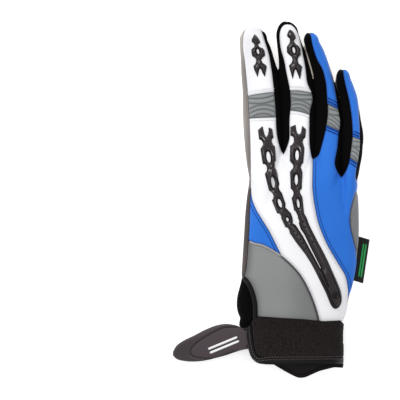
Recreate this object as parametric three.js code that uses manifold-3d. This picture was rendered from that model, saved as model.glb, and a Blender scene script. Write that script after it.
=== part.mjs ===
// Full-finger work and riding glove for the right hand. It lies palm down, its thumb tucked under the palm.
// Millimetres. +X runs to the little finger, +Y to the fingertips, +Z up from the surface it lies on.
// The glove is one hollow skin of sewn panels. Each panel is cut out of that skin along its seams,
// and a gap as wide as a needle hole is left where two panels are sewn together.
import * as THREE from 'three';
import { mergeVertices } from 'three/addons/utils/BufferGeometryUtils.js';
import Module from 'manifold-3d';

const wasm = await Module();
wasm.setup();
const { Manifold, Mesh } = wasm;

// Driving dimensions
const WALL = 1.6;             // thickness of the neoprene and leather panels
const SEAM_GAP = 0.3;         // slit left between two panels that are sewn together
const FINGER_GAP = 0.4;       // air between two fingers that lie side by side
const RELIEF_RISE = 2.0;      // height of the moulded rubber relief over the cloth
const RELIEF_GAP = 0.15;      // glue line under the relief
const LOW = -5;               // below the table: where the vertical cutters start
const HIGH = 90;              // above the glove: where they end
const NEAR = -20;             // in front of the cuff
const FAR = 250;              // beyond the fingertips
const WRIST_END = 17;         // where the skin ends, under the cuff band
const CUFF_WALL = 2.6;        // loop-faced cuff band
const CUFF_BINDING = 3.1;     // bound edge of the band
const CUFF_INNER_WALL = 1.8;  // palm half of the cuff
const TAB_THICK = 2.6;        // moulded pull tab
const LABEL_THICK = 1.0;      // folded woven label
const BINDING_RISE = 1.2;     // bound edge of the vent
const VENT_BINDING_WIDTH = 3;
const RIB_RISE = 1.1;         // ribs of the stretch panels
const RIB_CLEAR = 0.45;       // bare cloth between a rib's end and the seam beside it
const SPLIT = 0.45;           // share of the height where the back panels meet the palm

// Numbers of facets: round the skin's outside and its inside, and the length of a step along its seams
const OUTSIDE = { hand: 24, finger: 12, thumb: 12 };
const INSIDE = { hand: 16, finger: 8, thumb: 8 };
const SEAM_STEP = 15;

// Height of the glove along its length, from the wrist to the fingertips.
// under and over are the palm's and the back's heights above the table.
const ARCH = [
  { y: 10, under: 2.3, over: 30 },
  { y: 18, under: 2.3, over: 30.5 },
  { y: 26, under: 2.6, over: 31.5 },
  { y: 34, under: 5.5, over: 35.5 },
  { y: 45, under: 11, over: 38 },
  { y: 60, under: 15.4, over: 41.5 },
  { y: 85, under: 16, over: 45.5 },
  { y: 110, under: 16, over: 47.5 },
  { y: 130, under: 16, over: 46.5 },
  { y: 144, under: 15, over: 42 },
  { y: 158, under: 10.5, over: 35 },
  { y: 172, under: 5, over: 27.5 },
  { y: 186, under: 1.5, over: 22 },
  { y: 200, under: 0, over: 19 },
  { y: 215, under: 0, over: 17.5 },
  { y: 240, under: 0, over: 17 },
];

// The hand's left and right edges seen from above, and how far its end slopes down into the finger crotches.
const HAND = [
  { y: 10, left: -32.6, right: 26.8, dip: 0 },
  { y: 26, left: -34.4, right: 26.7, dip: 0 },
  { y: 34, left: -41.4, right: 30.4, dip: 0 },
  { y: 45, left: -43.2, right: 33.2, dip: 0 },
  { y: 60, left: -40.2, right: 36.4, dip: 0 },
  { y: 75, left: -39, right: 38.6, dip: 0 },
  { y: 90, left: -38.2, right: 39.7, dip: 0 },
  { y: 105, left: -37.2, right: 39.6, dip: 0 },
  { y: 120, left: -35.8, right: 38.8, dip: 0 },
  { y: 130, left: -34.5, right: 36.5, dip: 1 },
  { y: 138, left: -34.5, right: 32, dip: 3 },
  { y: 146, left: -33, right: 24, dip: 7 },
  { y: 153, left: -30, right: 16, dip: 12 },
  { y: 158, left: -26, right: 9, dip: 16 },
];

// Fingers: edges seen from above, the place of each tip, and where its round end begins.
const FINGERS = {
  index: {
    tip: { x: -32, y: 230.5, from: 222 },
    rows: [
      { y: 108, left: -30, right: -14 },
      { y: 128, left: -34.6, right: -12.4 },
      { y: 142, left: -37, right: -11.6 },
      { y: 156, left: -38.3, right: -11.9 },
      { y: 170, left: -38.9, right: -12.1 },
      { y: 184, left: -39.3, right: -12.9 },
      { y: 200, left: -40.3, right: -14.6 },
      { y: 208, left: -40.7, right: -16.8 },
      { y: 216, left: -41.1, right: -19.4 },
      { y: 222, left: -41.3, right: -22.3 },
    ],
  },
  middle: {
    tip: { x: -10, y: 234.6, from: 225 },
    rows: [
      { y: 108, left: -11, right: 8 },
      { y: 128, left: -11.4, right: 8.8 },
      { y: 142, left: -11.6, right: 9.6 },
      { y: 156, left: -11.9, right: 10.6 },
      { y: 170, left: -12.1, right: 11 },
      { y: 184, left: -12.9, right: 11.3 },
      { y: 200, left: -14.5, right: 8.6 },
      { y: 208, left: -15, right: 6.5 },
      { y: 216, left: -15.6, right: 3.6 },
      { y: 225, left: -16.2, right: 0 },
    ],
  },
  ring: {
    tip: { x: 6.4, y: 226.8, from: 221 },
    rows: [
      { y: 108, left: 10.5, right: 26 },
      { y: 128, left: 9.5, right: 27.6 },
      { y: 142, left: 9.6, right: 28.6 },
      { y: 156, left: 10.6, right: 29.1 },
      { y: 170, left: 11, right: 28.9 },
      { y: 184, left: 11.3, right: 26.5 },
      { y: 200, left: 8.9, right: 22.4 },
      { y: 208, left: 6.5, right: 19.8 },
      { y: 216, left: 3.9, right: 16.4 },
      { y: 221, left: 2.7, right: 13.6 },
    ],
  },
  little: {
    tip: { x: 29, y: 201.8, from: 196 },
    rows: [
      { y: 100, left: 28, right: 36 },
      { y: 114, left: 27.5, right: 38.5 },
      { y: 128, left: 27.8, right: 39.5 },
      { y: 142, left: 28.6, right: 42.2 },
      { y: 156, left: 29.1, right: 43.5 },
      { y: 170, left: 28.9, right: 42.2 },
      { y: 182, left: 27, right: 40.1 },
      { y: 189, left: 25.3, right: 37.7 },
      { y: 196, left: 24.9, right: 34.9 },
    ],
  },
};

// The thumb folds under at the left edge and lies on the table below the palm.
// Sections at steps of x: middle and half width along y, and the heights that it fills.
const THUMB = [
  { x: -37, y: 79, half: 14, low: 7, high: 26 },
  { x: -34.5, y: 81, half: 19, low: 2, high: 30 },
  { x: -30, y: 84, half: 20, low: 0, high: 30 },
  { x: -24, y: 88, half: 17.5, low: 0, high: 24 },
  { x: -18, y: 92, half: 15, low: 0, high: 17 },
  { x: -8, y: 99.5, half: 13, low: 0, high: 14 },
  { x: 3, y: 106, half: 12.2, low: 0, high: 14 },
];
const THUMB_TIP = { x: 17, y: 113.5 };
const THUMB_SEAM = 7;         // height of the seam between its leather front and its cloth back

// Seams seen from above, each from its first to its last stitch, as x, y points that it passes.
const SEAMS = {
  index_outer: [[-26, 240], [-37.6, 229.6], [-39.5, 218], [-38.2, 208], [-36.4, 190], [-35.2, 172],
    [-34.5, 152], [-34.4, 128], [-34.2, 121]],
  index_inner: [[-24, 240], [-25.4, 229], [-23.4, 222], [-20.4, 212], [-18.8, 201], [-17.2, 187],
    [-16.1, 174], [-15.8, 162], [-14.7, 154], [-11.6, 144.4]],
  middle_left: [[-8, 241], [-13.5, 232.5], [-14.3, 225], [-13.4, 216], [-11.2, 208], [-9.6, 200],
    [-7.2, 188], [-6.6, 178], [-7.6, 168], [-8, 154], [-11.6, 144.4]],
  middle_right: [[-7, 241], [-3.4, 230.5], [0.2, 222.5], [2.8, 212], [4.3, 202], [5.4, 193], [8.4, 186],
    [9.2, 181.5], [7.2, 173], [6.6, 164], [6.8, 150], [8.5, 141]],
  ring_left: [[4, 236], [7.2, 226], [8.5, 218], [11.4, 209], [15.4, 202], [17.7, 193], [18.4, 182],
    [18.8, 173], [17.2, 162], [14.6, 152], [11.6, 143.5], [8.5, 141]],
  ring_right: [[10, 236], [16, 222], [20.8, 206], [24, 192], [25.4, 184], [26.8, 174], [27.9, 165],
    [26.6, 157], [25.6, 148], [23.8, 137], [27.8, 128.4]],
  little_left: [[29.5, 210], [29.6, 200.5], [31, 192], [33.4, 181], [35, 170], [35.4, 158], [34.2, 148],
    [32, 137], [27.8, 128.4]],
  little_outer: [[36, 210], [40.5, 183], [40.9, 170], [41.2, 160], [40.9, 148], [39.4, 138], [38.2, 131],
    [38.6, 126.4], [43, 124.5]],
  white_blue: [[8.5, 141], [8.2, 130], [8.2, 120], [10, 107], [12.6, 96], [18, 83], [26, 69.5], [31, 61],
    [33, 52], [34.8, 40]],
  blue_side: [[44, 120.5], [38.6, 118.4], [35.6, 111], [34, 103], [34.2, 95], [36, 87], [38, 80], [41, 70]],
  thumb_side: [[-34.2, 121], [-33.4, 114], [-31, 107.5], [-26.6, 100], [-21.6, 92], [-17, 83], [-13, 74.8]],
  white_grey: [[-13, 74.8], [-6, 68.5], [0, 61.5], [5.3, 52], [9.8, 41], [12.6, 31], [15, 12]],
  blue_grey: [[-35.6, 85.8], [-32, 83.6], [-26, 82.2], [-19.5, 79], [-13, 74.8]],
  thumb_edge: [[-34.2, 121], [-34.8, 106], [-35.2, 94], [-35.6, 85.8], [-36.4, 74], [-37.2, 66],
    [-38.6, 60.6]],
  slit: [[-38.6, 60.6], [-35, 56], [-32.4, 50], [-30.8, 43], [-30.4, 33], [-30.6, 12]],
};
const SIDE_EDGE = 60;         // beyond both edges of the hand

// Ribbed stretch panels over the middle knuckles: their edges towards the hand and towards the tip.
const FLEX = {
  index: { low: [[-45, 167.6], [-30, 169], [-8, 169.6]], high: [[-45, 181.5], [-32, 184.5], [-8, 187.5]] },
  middle: { low: [[-16, 174.6], [0, 173.2], [14, 168.4]], high: [[-16, 187.2], [0, 187.3], [14, 184.6]] },
  ring: { low: [[10, 168], [22.5, 161.8], [34, 157.6]], high: [[10, 184], [20, 178], [32, 172.4]] },
  little: { low: [[28, 144.8], [36.5, 139.6], [46, 133.5]], high: [[28, 160.6], [38, 155.2], [48, 152.4]] },
};
const FLEX_STEPS = 3;
const RIBS = 3;
const RIB_WIDTH = 2;
const RIB_BOW = 1.2;          // how far the middle of a rib bows towards the tip
const RIB_MARGIN = 0.75;      // room beside the outer ribs, as a share of the pitch

// The rubber relief on the hand: two chains of links that run together into one arm with a slit in it.
// The outline runs down the index chain's outer side, round the arm's end and up to the middle chain's jaws,
// then down that chain's other side into the slit, and up the index chain's inner side.
const HAND_RELIEF = {
  outline: [[-25.6, 162.8], [-28.6, 160.1], [-28, 153.9], [-25.6, 152], [-25.2, 150.3], [-27.1, 147.1],
    [-25.6, 137.2], [-24.1, 137.1], [-22.7, 133.9], [-24.2, 130.5], [-21.4, 119.3], [-18.7, 117],
    [-18.1, 115.3], [-19.3, 112.6], [-15.9, 104], [-13.1, 102], [-10.4, 94.7], [-8.6, 94.1], [-7.2, 90.3],
    [2.7, 76.8], [6.3, 71.3], [13.6, 57.3], [17.2, 50], [19.4, 44.6], [21.2, 40.9], [23.3, 39.2], [25.7, 40],
    [27.4, 42.8], [27.9, 46.7], [27, 51.6], [24.5, 57.9], [14.8, 78.8], [5.7, 96.4], [3.9, 101.2],
    [2.4, 103.7], [2, 106.8], [1.2, 114.8], [-0.6, 118.1], [0.8, 120.6], [1.1, 131.6], [0.1, 134.9],
    [1.7, 138], [2.6, 147.6], [1.4, 152], [3.2, 155], [3.7, 160.7], [1.2, 162.9], [0.4, 158.1], [-0.9, 157],
    [-2.1, 158.1], [-3.1, 163.7], [-6.5, 162.2], [-6.5, 156.3], [-4.4, 154.6], [-4.3, 152], [-6.7, 149.3],
    [-6.9, 139.2], [-4.8, 136.2], [-4.8, 134.4], [-7.1, 131.7], [-6.7, 120.6], [-4.7, 117.6], [-6.1, 114.1],
    [-3.6, 105.4], [-1.8, 100.7], [0, 93.4], [7.3, 79.7], [13.8, 66.8], [13.4, 66.6], [6.5, 79.3],
    [-1.3, 92.9], [-4.1, 96.6], [-5.5, 97.2], [-6.6, 104.1], [-10.3, 107.9], [-10.2, 110.6],
    [-12.7, 117.8], [-14.8, 121.3], [-16.2, 132.2], [-17.7, 134.6], [-17.7, 138.4], [-16.9, 141.3],
    [-17.6, 149.2], [-19.5, 151.9], [-18.4, 154.9], [-19.2, 160.8], [-21.5, 161.8], [-22, 157.1],
    [-23.2, 154.9], [-24.9, 159.6]],
  eyes: [
    { x: -21.7, y: 141.8, wide: 1.4, long: 3.9, turn: 8 },
    { x: -18.8, y: 124.8, wide: 1.2, long: 3.8, turn: 10 },
    { x: -14, y: 110.8, wide: 1.1, long: 3.1, turn: 18 },
    { x: -2.3, y: 143.1, wide: 1.2, long: 3.5, turn: 0 },
    { x: -2.9, y: 126.5, wide: 1.1, long: 3.6, turn: 0 },
    { x: -1.7, y: 110.6, wide: 0.9, long: 3.1, turn: 8 },
  ],
};

// Fingertip reliefs: a pointed head, one link with an eye, and two pointed prongs
const INDEX_RELIEF = {
  outline: [[-30.9, 225.6], [-32.9, 221.8], [-30.8, 218.2], [-32.9, 215.4], [-32.9, 212.8], [-30.3, 209.4],
    [-30.1, 205.7], [-31.6, 203.9], [-31.1, 201.6], [-28.8, 196.4], [-27.7, 201.7], [-26.3, 201.4],
    [-23.9, 196.7], [-22.7, 203.6], [-25.5, 206.2], [-26.5, 208.1], [-23.9, 211.1], [-24.2, 214.4],
    [-28.7, 218.6], [-27.1, 219.9], [-27.6, 221.6]],
  eyes: [{ x: -28.6, y: 214, wide: 0.8, long: 1.9, turn: 12 }],
};
const MIDDLE_RELIEF = {
  outline: [[-7.1, 228.7], [-8.8, 224.8], [-6.7, 221], [-8.8, 217.2], [-8.7, 213.4], [-5.6, 210.3],
    [-5.6, 206.2], [-7.4, 204.2], [-4.9, 194.9], [-3.6, 201], [-2.8, 201.9], [0, 194.6], [1.4, 203.6],
    [-1, 205.8], [-1.7, 208.3], [0.4, 211.6], [0, 215.6], [-4.4, 221.3], [-3.1, 222.7], [-4.3, 226.7]],
  eyes: [{ x: -4.2, y: 214.9, wide: 0.9, long: 2.2, turn: 12 }],
};
const EYE_SIDES = 6;

// Cuff: the band's edge towards the hand, its other edge, and the palm half's edge, which ends in a blunt V.
const CUFF_TOP = [[-60, 24.5], [-37, 25], [-30.4, 32.8], [-17, 32.1], [3.4, 30.9], [17, 29.4], [28.6, 29.9],
  [31, 27], [60, 26]];
const CUFF_LOW = [[-60, 14], [-37.5, 14], [-35.8, 9], [-33, 5], [-29, 2.6], [-24, 1.4], [60, 1.4]];
const BINDING_WIDTH = 4;
const CUFF_V = [[-60, 16], [-36.5, 15], [-35, 10], [-32.6, 6], [-28, 3.2], [-19.4, 1.4], [-10.2, -4.1],
  [-2, -8.3], [0.7, -8.8], [4.1, -8.3], [13.6, -4.1], [23.8, -1.4], [60, -1.6]];
const CUFF_STATIONS = [-12, 17, 26, 34];
const CUFF_GAP = 0.5;
const VENT_TOP = 70;          // above the vent's head
const VENT_STEPS = 8;

// Pull tab: a leaf that tapers to a round tip, with a raised leaf inside its rim and ribs across the tip.
const TAB = [
  { x: -34, low: 11.6, high: 25.4 },
  { x: -38.5, low: 10.8, high: 25.8 },
  { x: -44, low: 9.2, high: 27.6 },
  { x: -50, low: 7.1, high: 28.4 },
  { x: -56, low: 5.4, high: 27.6 },
  { x: -64, low: 3.4, high: 24.6 },
  { x: -72, low: 2.5, high: 20.4 },
  { x: -79, low: 2.9, high: 17 },
  { x: -84, low: 4.2, high: 13.4 },
  { x: -86.6, low: 6.6, high: 9.2 },
];
const TAB_ROOT_HEIGHT = 15.5; // where the tab leaves the cuff
const TAB_SLOPE = 16;         // degrees by which it falls towards its tip
const TAB_RIM = 3;
const TAB_STEP = 0.8;
const TAB_GRIPS = 4;
const TAB_GRIP_PITCH = 3;
const TAB_REACH = 30;         // beyond the tab's upper edge

// Label: folded ribbon caught in the seam of the little-finger edge.
const LABEL = [[40.1, 88.1], [47.3, 86], [42.8, 56.1], [35.8, 58.3]];
const LABEL_HEIGHT = 26;

const LOOKS = {
  white: { color: 0xf6f6f8, roughness: 0.85 },
  blue: { color: 0x2f72d2, roughness: 0.8 },
  grey: { color: 0x87898a, roughness: 0.85 },
  dark_grey: { color: 0x66656a, roughness: 0.85 },
  flex: { color: 0x85878a, roughness: 0.75 },
  black: { color: 0x0a090a, roughness: 0.9 },
  leather: { color: 0xaaa49f, roughness: 0.7 },
  loop: { color: 0x272121, roughness: 0.95 },
  satin: { color: 0x1b191a, roughness: 0.5 },
  rubber: { color: 0x2b2829, roughness: 0.4 },
  tab_rubber: { color: 0x443b40, roughness: 0.6 },
  label: { color: 0x101410, roughness: 0.7 },
};

// Arrays of x, y points become smooth curves, sampled evenly.
function smooth(points, steps) {
  const curve = new THREE.CatmullRomCurve3(points.map(([x, y]) => new THREE.Vector3(x, y, 0)));
  return curve.getSpacedPoints(steps).map((p) => [p.x, p.y]);
}

function pathLength(points) {
  const lengths = points.slice(1).map((p, i) => Math.hypot(p[0] - points[i][0], p[1] - points[i][1]));
  return lengths.reduce((a, b) => a + b);
}

function seam(name) {
  const steps = Math.round(pathLength(SEAMS[name]) / SEAM_STEP);
  return smooth(SEAMS[name], Math.max(3, steps));
}

// A value of a table at any y, as a smooth curve through the rows.
function at(rows, column, y) {
  const next = rows.findIndex((row) => row.y > y);
  const i = next < 0 ? rows.length - 2 : Math.max(next - 1, 0);
  const slope = (k) => {
    const a = rows[Math.max(k - 1, 0)];
    const b = rows[Math.min(k + 1, rows.length - 1)];
    return (b[column] - a[column]) / (b.y - a.y);
  };
  const span = rows[i + 1].y - rows[i].y;
  const t = Math.min(1, Math.max(0, (y - rows[i].y) / span));
  const [t2, t3] = [t * t, t * t * t];
  return (2 * t3 - 3 * t2 + 1) * rows[i][column] + (t3 - 2 * t2 + t) * span * slope(i)
    + (3 * t2 - 2 * t3) * rows[i + 1][column] + (t3 - t2) * span * slope(i + 1);
}

const underAt = (y) => at(ARCH, 'under', y);
const overAt = (y) => at(ARCH, 'over', y);

// One oval section, rounder over the back than under the palm. Four of its facets lie flat on its extents.
const BACK_SQUARENESS = 2.3;
const PALM_SQUARENESS = 2.9;

function oval(centre, half, sides, place) {
  return Array.from({ length: sides }, (_, i) => {
    const a = (2 * Math.PI * (i + 0.5)) / sides;
    const power = 2 / (Math.sin(a) > 0 ? BACK_SQUARENESS : PALM_SQUARENESS);
    const flat = Math.cos(Math.PI / sides);
    const round = (v) => Math.sign(v) * Math.abs(v / flat) ** power;
    return place(centre[0] + half[0] * round(Math.cos(a)), centre[1] + half[1] * round(Math.sin(a)));
  });
}

function manifoldFrom(positions, index) {
  return new Manifold(new Mesh({
    numProp: 3,
    vertProperties: new Float32Array(positions),
    triVerts: new Uint32Array(index),
  }));
}

// A closed body through rings with the same number of points each.
function loft(rings) {
  const sides = rings[0].length;
  const positions = rings.flat(2);
  const index = [];
  rings.slice(1).forEach((_, k) => {
    for (let i = 0; i < sides; i += 1) {
      const a = k * sides + i;
      const b = k * sides + ((i + 1) % sides);
      index.push(a, b, b + sides, a, b + sides, a + sides);
    }
  });
  const close = (k, flipped) => {
    const middle = positions.length / 3;
    [0, 1, 2].forEach((c) => positions.push(rings[k].reduce((sum, p) => sum + p[c], 0) / sides));
    for (let i = 0; i < sides; i += 1) {
      const a = k * sides + i;
      const b = k * sides + ((i + 1) % sides);
      index.push(middle, flipped ? b : a, flipped ? a : b);
    }
  };
  close(0, true);
  close(rings.length - 1, false);
  const solid = manifoldFrom(positions, index);
  if (solid.volume() > 0) return solid;
  return manifoldFrom(positions, index.map((v, i) => (i % 3 === 0 ? v : index[i + (i % 3 === 1 ? 1 : -1)])));
}

// A three.js geometry as a solid that can be cut.
function solidOf(geometry) {
  const bare = geometry.clone();
  bare.deleteAttribute('normal');
  bare.deleteAttribute('uv');
  const merged = mergeVertices(bare, 1e-4);
  return manifoldFrom(merged.attributes.position.array, merged.index.array);
}

function geometryOf(solid) {
  const { vertProperties, triVerts } = solid.getMesh();
  const geometry = new THREE.BufferGeometry();
  geometry.setAttribute('position', new THREE.BufferAttribute(vertProperties, 3));
  geometry.setIndex(new THREE.BufferAttribute(triVerts, 1));
  return geometry;
}

// An upright block with this outline seen from above.
function prism(outline, low = LOW, high = HIGH) {
  const shape = new THREE.Shape(outline.map(([x, y]) => new THREE.Vector2(x, y)));
  const geometry = new THREE.ExtrudeGeometry(shape, { depth: high - low, bevelEnabled: false });
  return solidOf(geometry.translate(0, 0, low));
}

// Both sides of a strip of this width along a curve, as one outline.
function ribbon(points, width) {
  const side = (sign) => points.map((p, i) => {
    const a = points[Math.max(i - 1, 0)];
    const b = points[Math.min(i + 1, points.length - 1)];
    const [dx, dy] = [b[0] - a[0], b[1] - a[1]];
    const length = Math.hypot(dx, dy);
    return [p[0] - (sign * dy * width) / 2 / length, p[1] + (sign * dx * width) / 2 / length];
  });
  return [...side(1), ...side(-1).reverse()];
}

const join = (solids) => solids.reduce((a, b) => a.add(b));
const cut = (solid, tools) => tools.reduce((a, b) => a.subtract(b), solid);

// The skin's full form, grown outwards by this much, or shrunk where it is negative.
const HAND_STATIONS = [26, 34, 45, 60, 80, 104, 126, 138, 147, 154, 158];
const FINGER_STATIONS = [108, 132, 145, 158, 171, 185, 200, 211];
const CAP_STEPS = [0, 0.55, 0.85, 0.98];
const CAP_CLEAR = 5;          // no station this near to a finger's round end
const CAP_DROP = 1;           // how far the tip's point lies below the finger's middle
const BURIED = 3;             // how far a finger's root sinks into the hand
const ROOT_END = 128;         // where it has come out again
const UNDER_DIP = 0.25;       // the palm's share of the slope down into the finger crotches

function handForm(grow, wristEnd, sides) {
  return loft([wristEnd, ...HAND_STATIONS].map((y, i, all) => {
    const [left, right, dip] = ['left', 'right', 'dip'].map((column) => at(HAND, column, y));
    const top = overAt(y) - dip + grow;
    const bottom = underAt(y) + dip * UNDER_DIP - grow;
    const pushed = i === all.length - 1 ? grow : 0;
    return oval([(left + right) / 2, (top + bottom) / 2], [(right - left) / 2 + grow, (top - bottom) / 2],
      sides, (x, z) => [x, y + pushed, z]);
  }));
}

function fingerForm(name, grow, sides) {
  const { tip, rows } = FINGERS[name];
  const spread = grow - FINGER_GAP / 2;
  const start = rows[0].y;
  const stations = [start, ...FINGER_STATIONS.filter((y) => y > start && y < tip.from - CAP_CLEAR)];
  const section = (left, right, low, high, y) => oval([(left + right) / 2, (low + high) / 2],
    [(right - left) / 2, (high - low) / 2], sides, (x, z) => [x, y, z]);
  const rings = stations.map((y) => {
    const sunk = BURIED * Math.max(0, (ROOT_END - y) / (ROOT_END - start));
    return section(at(rows, 'left', y) - spread, at(rows, 'right', y) + spread,
      underAt(y) - grow + sunk, overAt(y) + grow - sunk, y);
  });
  const [left, right] = ['left', 'right'].map((column) => at(rows, column, tip.from));
  const [low, high] = [underAt(tip.from), overAt(tip.from)];
  const middle = (low + high) / 2 - CAP_DROP;
  CAP_STEPS.forEach((t) => {
    const s = Math.sqrt(1 - t * t);
    rings.push(section(tip.x - (tip.x - left + spread) * s, tip.x + (right - tip.x + spread) * s,
      middle - (middle - low + grow) * s, middle + (high - middle + grow) * s,
      tip.from + (tip.y - tip.from + grow) * t));
  });
  return loft(rings);
}

function thumbForm(grow, sides) {
  const section = (x, y, half, low, high) => oval([y, (low + high) / 2], [half, (high - low) / 2],
    sides, (u, z) => [x, u, z]);
  const rings = THUMB.map((row, i) => section(row.x - (i === 0 ? grow : 0), row.y, row.half + grow,
    row.low - grow, row.high + grow));
  const end = THUMB[THUMB.length - 1];
  CAP_STEPS.slice(1).forEach((t) => {
    const s = Math.sqrt(1 - t * t);
    const [middle, half] = [(end.low + end.high) / 2, ((end.high - end.low) / 2 + grow) * s];
    rings.push(section(end.x + (THUMB_TIP.x - end.x + grow) * t, end.y + (THUMB_TIP.y - end.y) * t,
      (end.half + grow) * s, middle - half, middle + half));
  });
  return loft(rings);
}

const fingerNames = Object.keys(FINGERS);
const formOf = (grow, wristEnd = WRIST_END, facets = OUTSIDE) => join([handForm(grow, wristEnd, facets.hand),
  ...fingerNames.map((name) => fingerForm(name, grow, facets.finger))]);

// The hollow skin
const WRIST_OVERRUN = 8;
const outer = formOf(0);
const inner = formOf(-WALL, WRIST_END - WRIST_OVERRUN, INSIDE);
const thumbInner = thumbForm(-WALL, INSIDE.thumb);
const skin = cut(outer, [inner, thumbInner]);

// Everything above the line where the back meets the palm, as a block
const LINE_STATIONS = [NEAR, 20, 45, 60, 85, 110, 130, 144, 158, 172, 186, 200, 215, FAR];

function aboveLine(lowered) {
  const line = LINE_STATIONS.map((y) => [y, underAt(y) + SPLIT * (overAt(y) - underAt(y)) - lowered]);
  const outline = [...line, [FAR, HIGH], [NEAR, HIGH]];
  const shape = new THREE.Shape(outline.map(([y, z]) => new THREE.Vector2(y, z)));
  const geometry = new THREE.ExtrudeGeometry(shape, { depth: 2 * SIDE_EDGE, bevelEnabled: false });
  geometry.translate(0, 0, -SIDE_EDGE);
  return solidOf(geometry.rotateX(Math.PI / 2).rotateZ(Math.PI / 2));
}

// The thumb is a tube of its own, set into the palm.
const thumbSkin = cut(thumbForm(0, OUTSIDE.thumb), [thumbInner, formOf(SEAM_GAP)]);
const belowThumbSeam = (rise) => prism([[-SIDE_EDGE, NEAR], [SIDE_EDGE, NEAR], [SIDE_EDGE, FAR],
  [-SIDE_EDGE, FAR]], LOW, THUMB_SEAM + rise);

// The back's field seen from above: right of the index finger's outer seam, and all of the hand below it
const seamFoot = SEAMS.index_outer[SEAMS.index_outer.length - 1];
const palmEdge = [...seam('index_outer'), [-SIDE_EDGE, seamFoot[1]]];
const backArea = prism([...palmEdge, [-SIDE_EDGE, NEAR], [SIDE_EDGE, NEAR], [SIDE_EDGE, FAR],
  [SEAMS.index_outer[0][0], FAR]]);
const back = skin.intersect(aboveLine(0)).intersect(backArea);
const palmSkin = cut(skin, [aboveLine(SEAM_GAP).intersect(backArea), prism(ribbon(palmEdge, SEAM_GAP))]);

// Each finger's back, between its two seams
const fingerBacks = {
  index: ['index_outer', 'index_inner'],
  middle: ['middle_left', 'middle_right'],
  ring: ['ring_left', 'ring_right'],
  little: ['little_left', 'little_outer'],
};
const fingerArea = (name) => {
  const [first, second] = fingerBacks[name].map(seam);
  return prism([...first, ...second.reverse()]);
};
const flexCurve = (name, edge) => smooth(FLEX[name][edge], FLEX_STEPS);

const [ventX, ventY] = SEAMS.slit[0];
const blades = [
  ...Object.keys(SEAMS).map((name) => prism(ribbon(seam(name), SEAM_GAP))),
  ...fingerNames.flatMap((name) => ['low', 'high'].map((edge) => (
    prism(ribbon(flexCurve(name, edge), SEAM_GAP)).intersect(fingerArea(name))))),
  prism(ribbon([[-SIDE_EDGE, ventY], [ventX + SEAM_GAP, ventY]], SEAM_GAP)),
];
const panels = cut(back, blades).decompose();

// A panel is picked out of the cut skin by a point seen from above.
const PROBE = 0.2;            // half width of the needle that picks it

function panelAt(x, y) {
  const probe = prism([[x - PROBE, y - PROBE], [x + PROBE, y - PROBE], [x + PROBE, y + PROBE],
    [x - PROBE, y + PROBE]]);
  const found = panels.filter((panel) => panel.intersect(probe).volume() > 0);
  return found.reduce((a, b) => (a.volume() > b.volume() ? a : b));
}

const largest = (solid) => solid.decompose().reduce((a, b) => (a.volume() > b.volume() ? a : b));

// Ribs stand on a stretch panel, parallel to its edges.
function ribbed(name, panel) {
  const low = flexCurve(name, 'low');
  const high = flexCurve(name, 'high');
  const layer = formOf(RIB_RISE).subtract(inner).intersect(fingerArea(name)).intersect(aboveLine(0));
  const ribs = Array.from({ length: RIBS }, (_, k) => {
    const t = (k + RIB_MARGIN) / (RIBS - 1 + 2 * RIB_MARGIN);
    const middle = low.map((p, i) => {
      const bow = RIB_BOW * Math.sin((Math.PI * i) / (low.length - 1));
      return [p[0] + (high[i][0] - p[0]) * t, p[1] + (high[i][1] - p[1]) * t + bow];
    });
    return prism(ribbon(middle, RIB_WIDTH));
  });
  const clear = fingerBacks[name].map((edge) => prism(ribbon(seam(edge), 2 * RIB_CLEAR)));
  return largest(panel.add(cut(layer.intersect(join(ribs)), clear)));
}

// Moves an outline given around 0, 0 to x, y, turned by so many degrees.
const placed = (outline, x, y, turn) => {
  const [c, s] = [Math.cos((turn * Math.PI) / 180), Math.sin((turn * Math.PI) / 180)];
  return outline.map(([u, v]) => [x + u * c - v * s, y + u * s + v * c]);
};
const ellipse = (a, b, sides) => Array.from({ length: sides }, (_, i) => {
  const angle = (2 * Math.PI * (i + 0.5)) / sides;
  return [a * Math.cos(angle), b * Math.sin(angle)];
});

const eyeBlock = ({ x, y, wide, long, turn }) => prism(placed(ellipse(wide, long, EYE_SIDES), x, y, turn));

// Rubber moulded onto the cloth: its drawing cut out of a layer over the skin's outside.
const reliefLayer = formOf(RELIEF_GAP + RELIEF_RISE).subtract(formOf(RELIEF_GAP)).intersect(aboveLine(0));

function relief({ outline, eyes }) {
  return largest(reliefLayer.intersect(cut(prism(outline), eyes.map(eyeBlock))));
}

// What lies between two edges that run from left to right across the glove
const level = (y) => [[-SIDE_EDGE, y], [SIDE_EDGE, y]];
const raised = (edge, rise) => edge.map(([x, y]) => [x, y + rise]);
const between = (low, high) => prism([...low, ...[...high].reverse()]);

// Bound edge of the vent, a raised strip along its seam
function ventBinding() {
  const layer = formOf(RELIEF_GAP + BINDING_RISE).subtract(formOf(RELIEF_GAP)).intersect(aboveLine(-1));
  const strip = prism(ribbon(smooth(SEAMS.slit, VENT_STEPS), VENT_BINDING_WIDTH));
  return largest(layer.intersect(strip).intersect(between(raised(CUFF_TOP, SEAM_GAP), level(VENT_TOP))));
}

// Cuff: a ring round the wrist, a little clear of the skin inside it
function cuffForm(grow) {
  return loft(CUFF_STATIONS.map((y) => {
    const row = Math.max(y, HAND[0].y);
    const [left, right] = ['left', 'right'].map((column) => at(HAND, column, row));
    const [bottom, top] = [underAt(row), overAt(row)];
    return oval([(left + right) / 2, (top + bottom) / 2],
      [(right - left) / 2 + grow, (top - bottom) / 2 + grow], OUTSIDE.hand, (x, z) => [x, y, z]);
  }));
}

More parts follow.
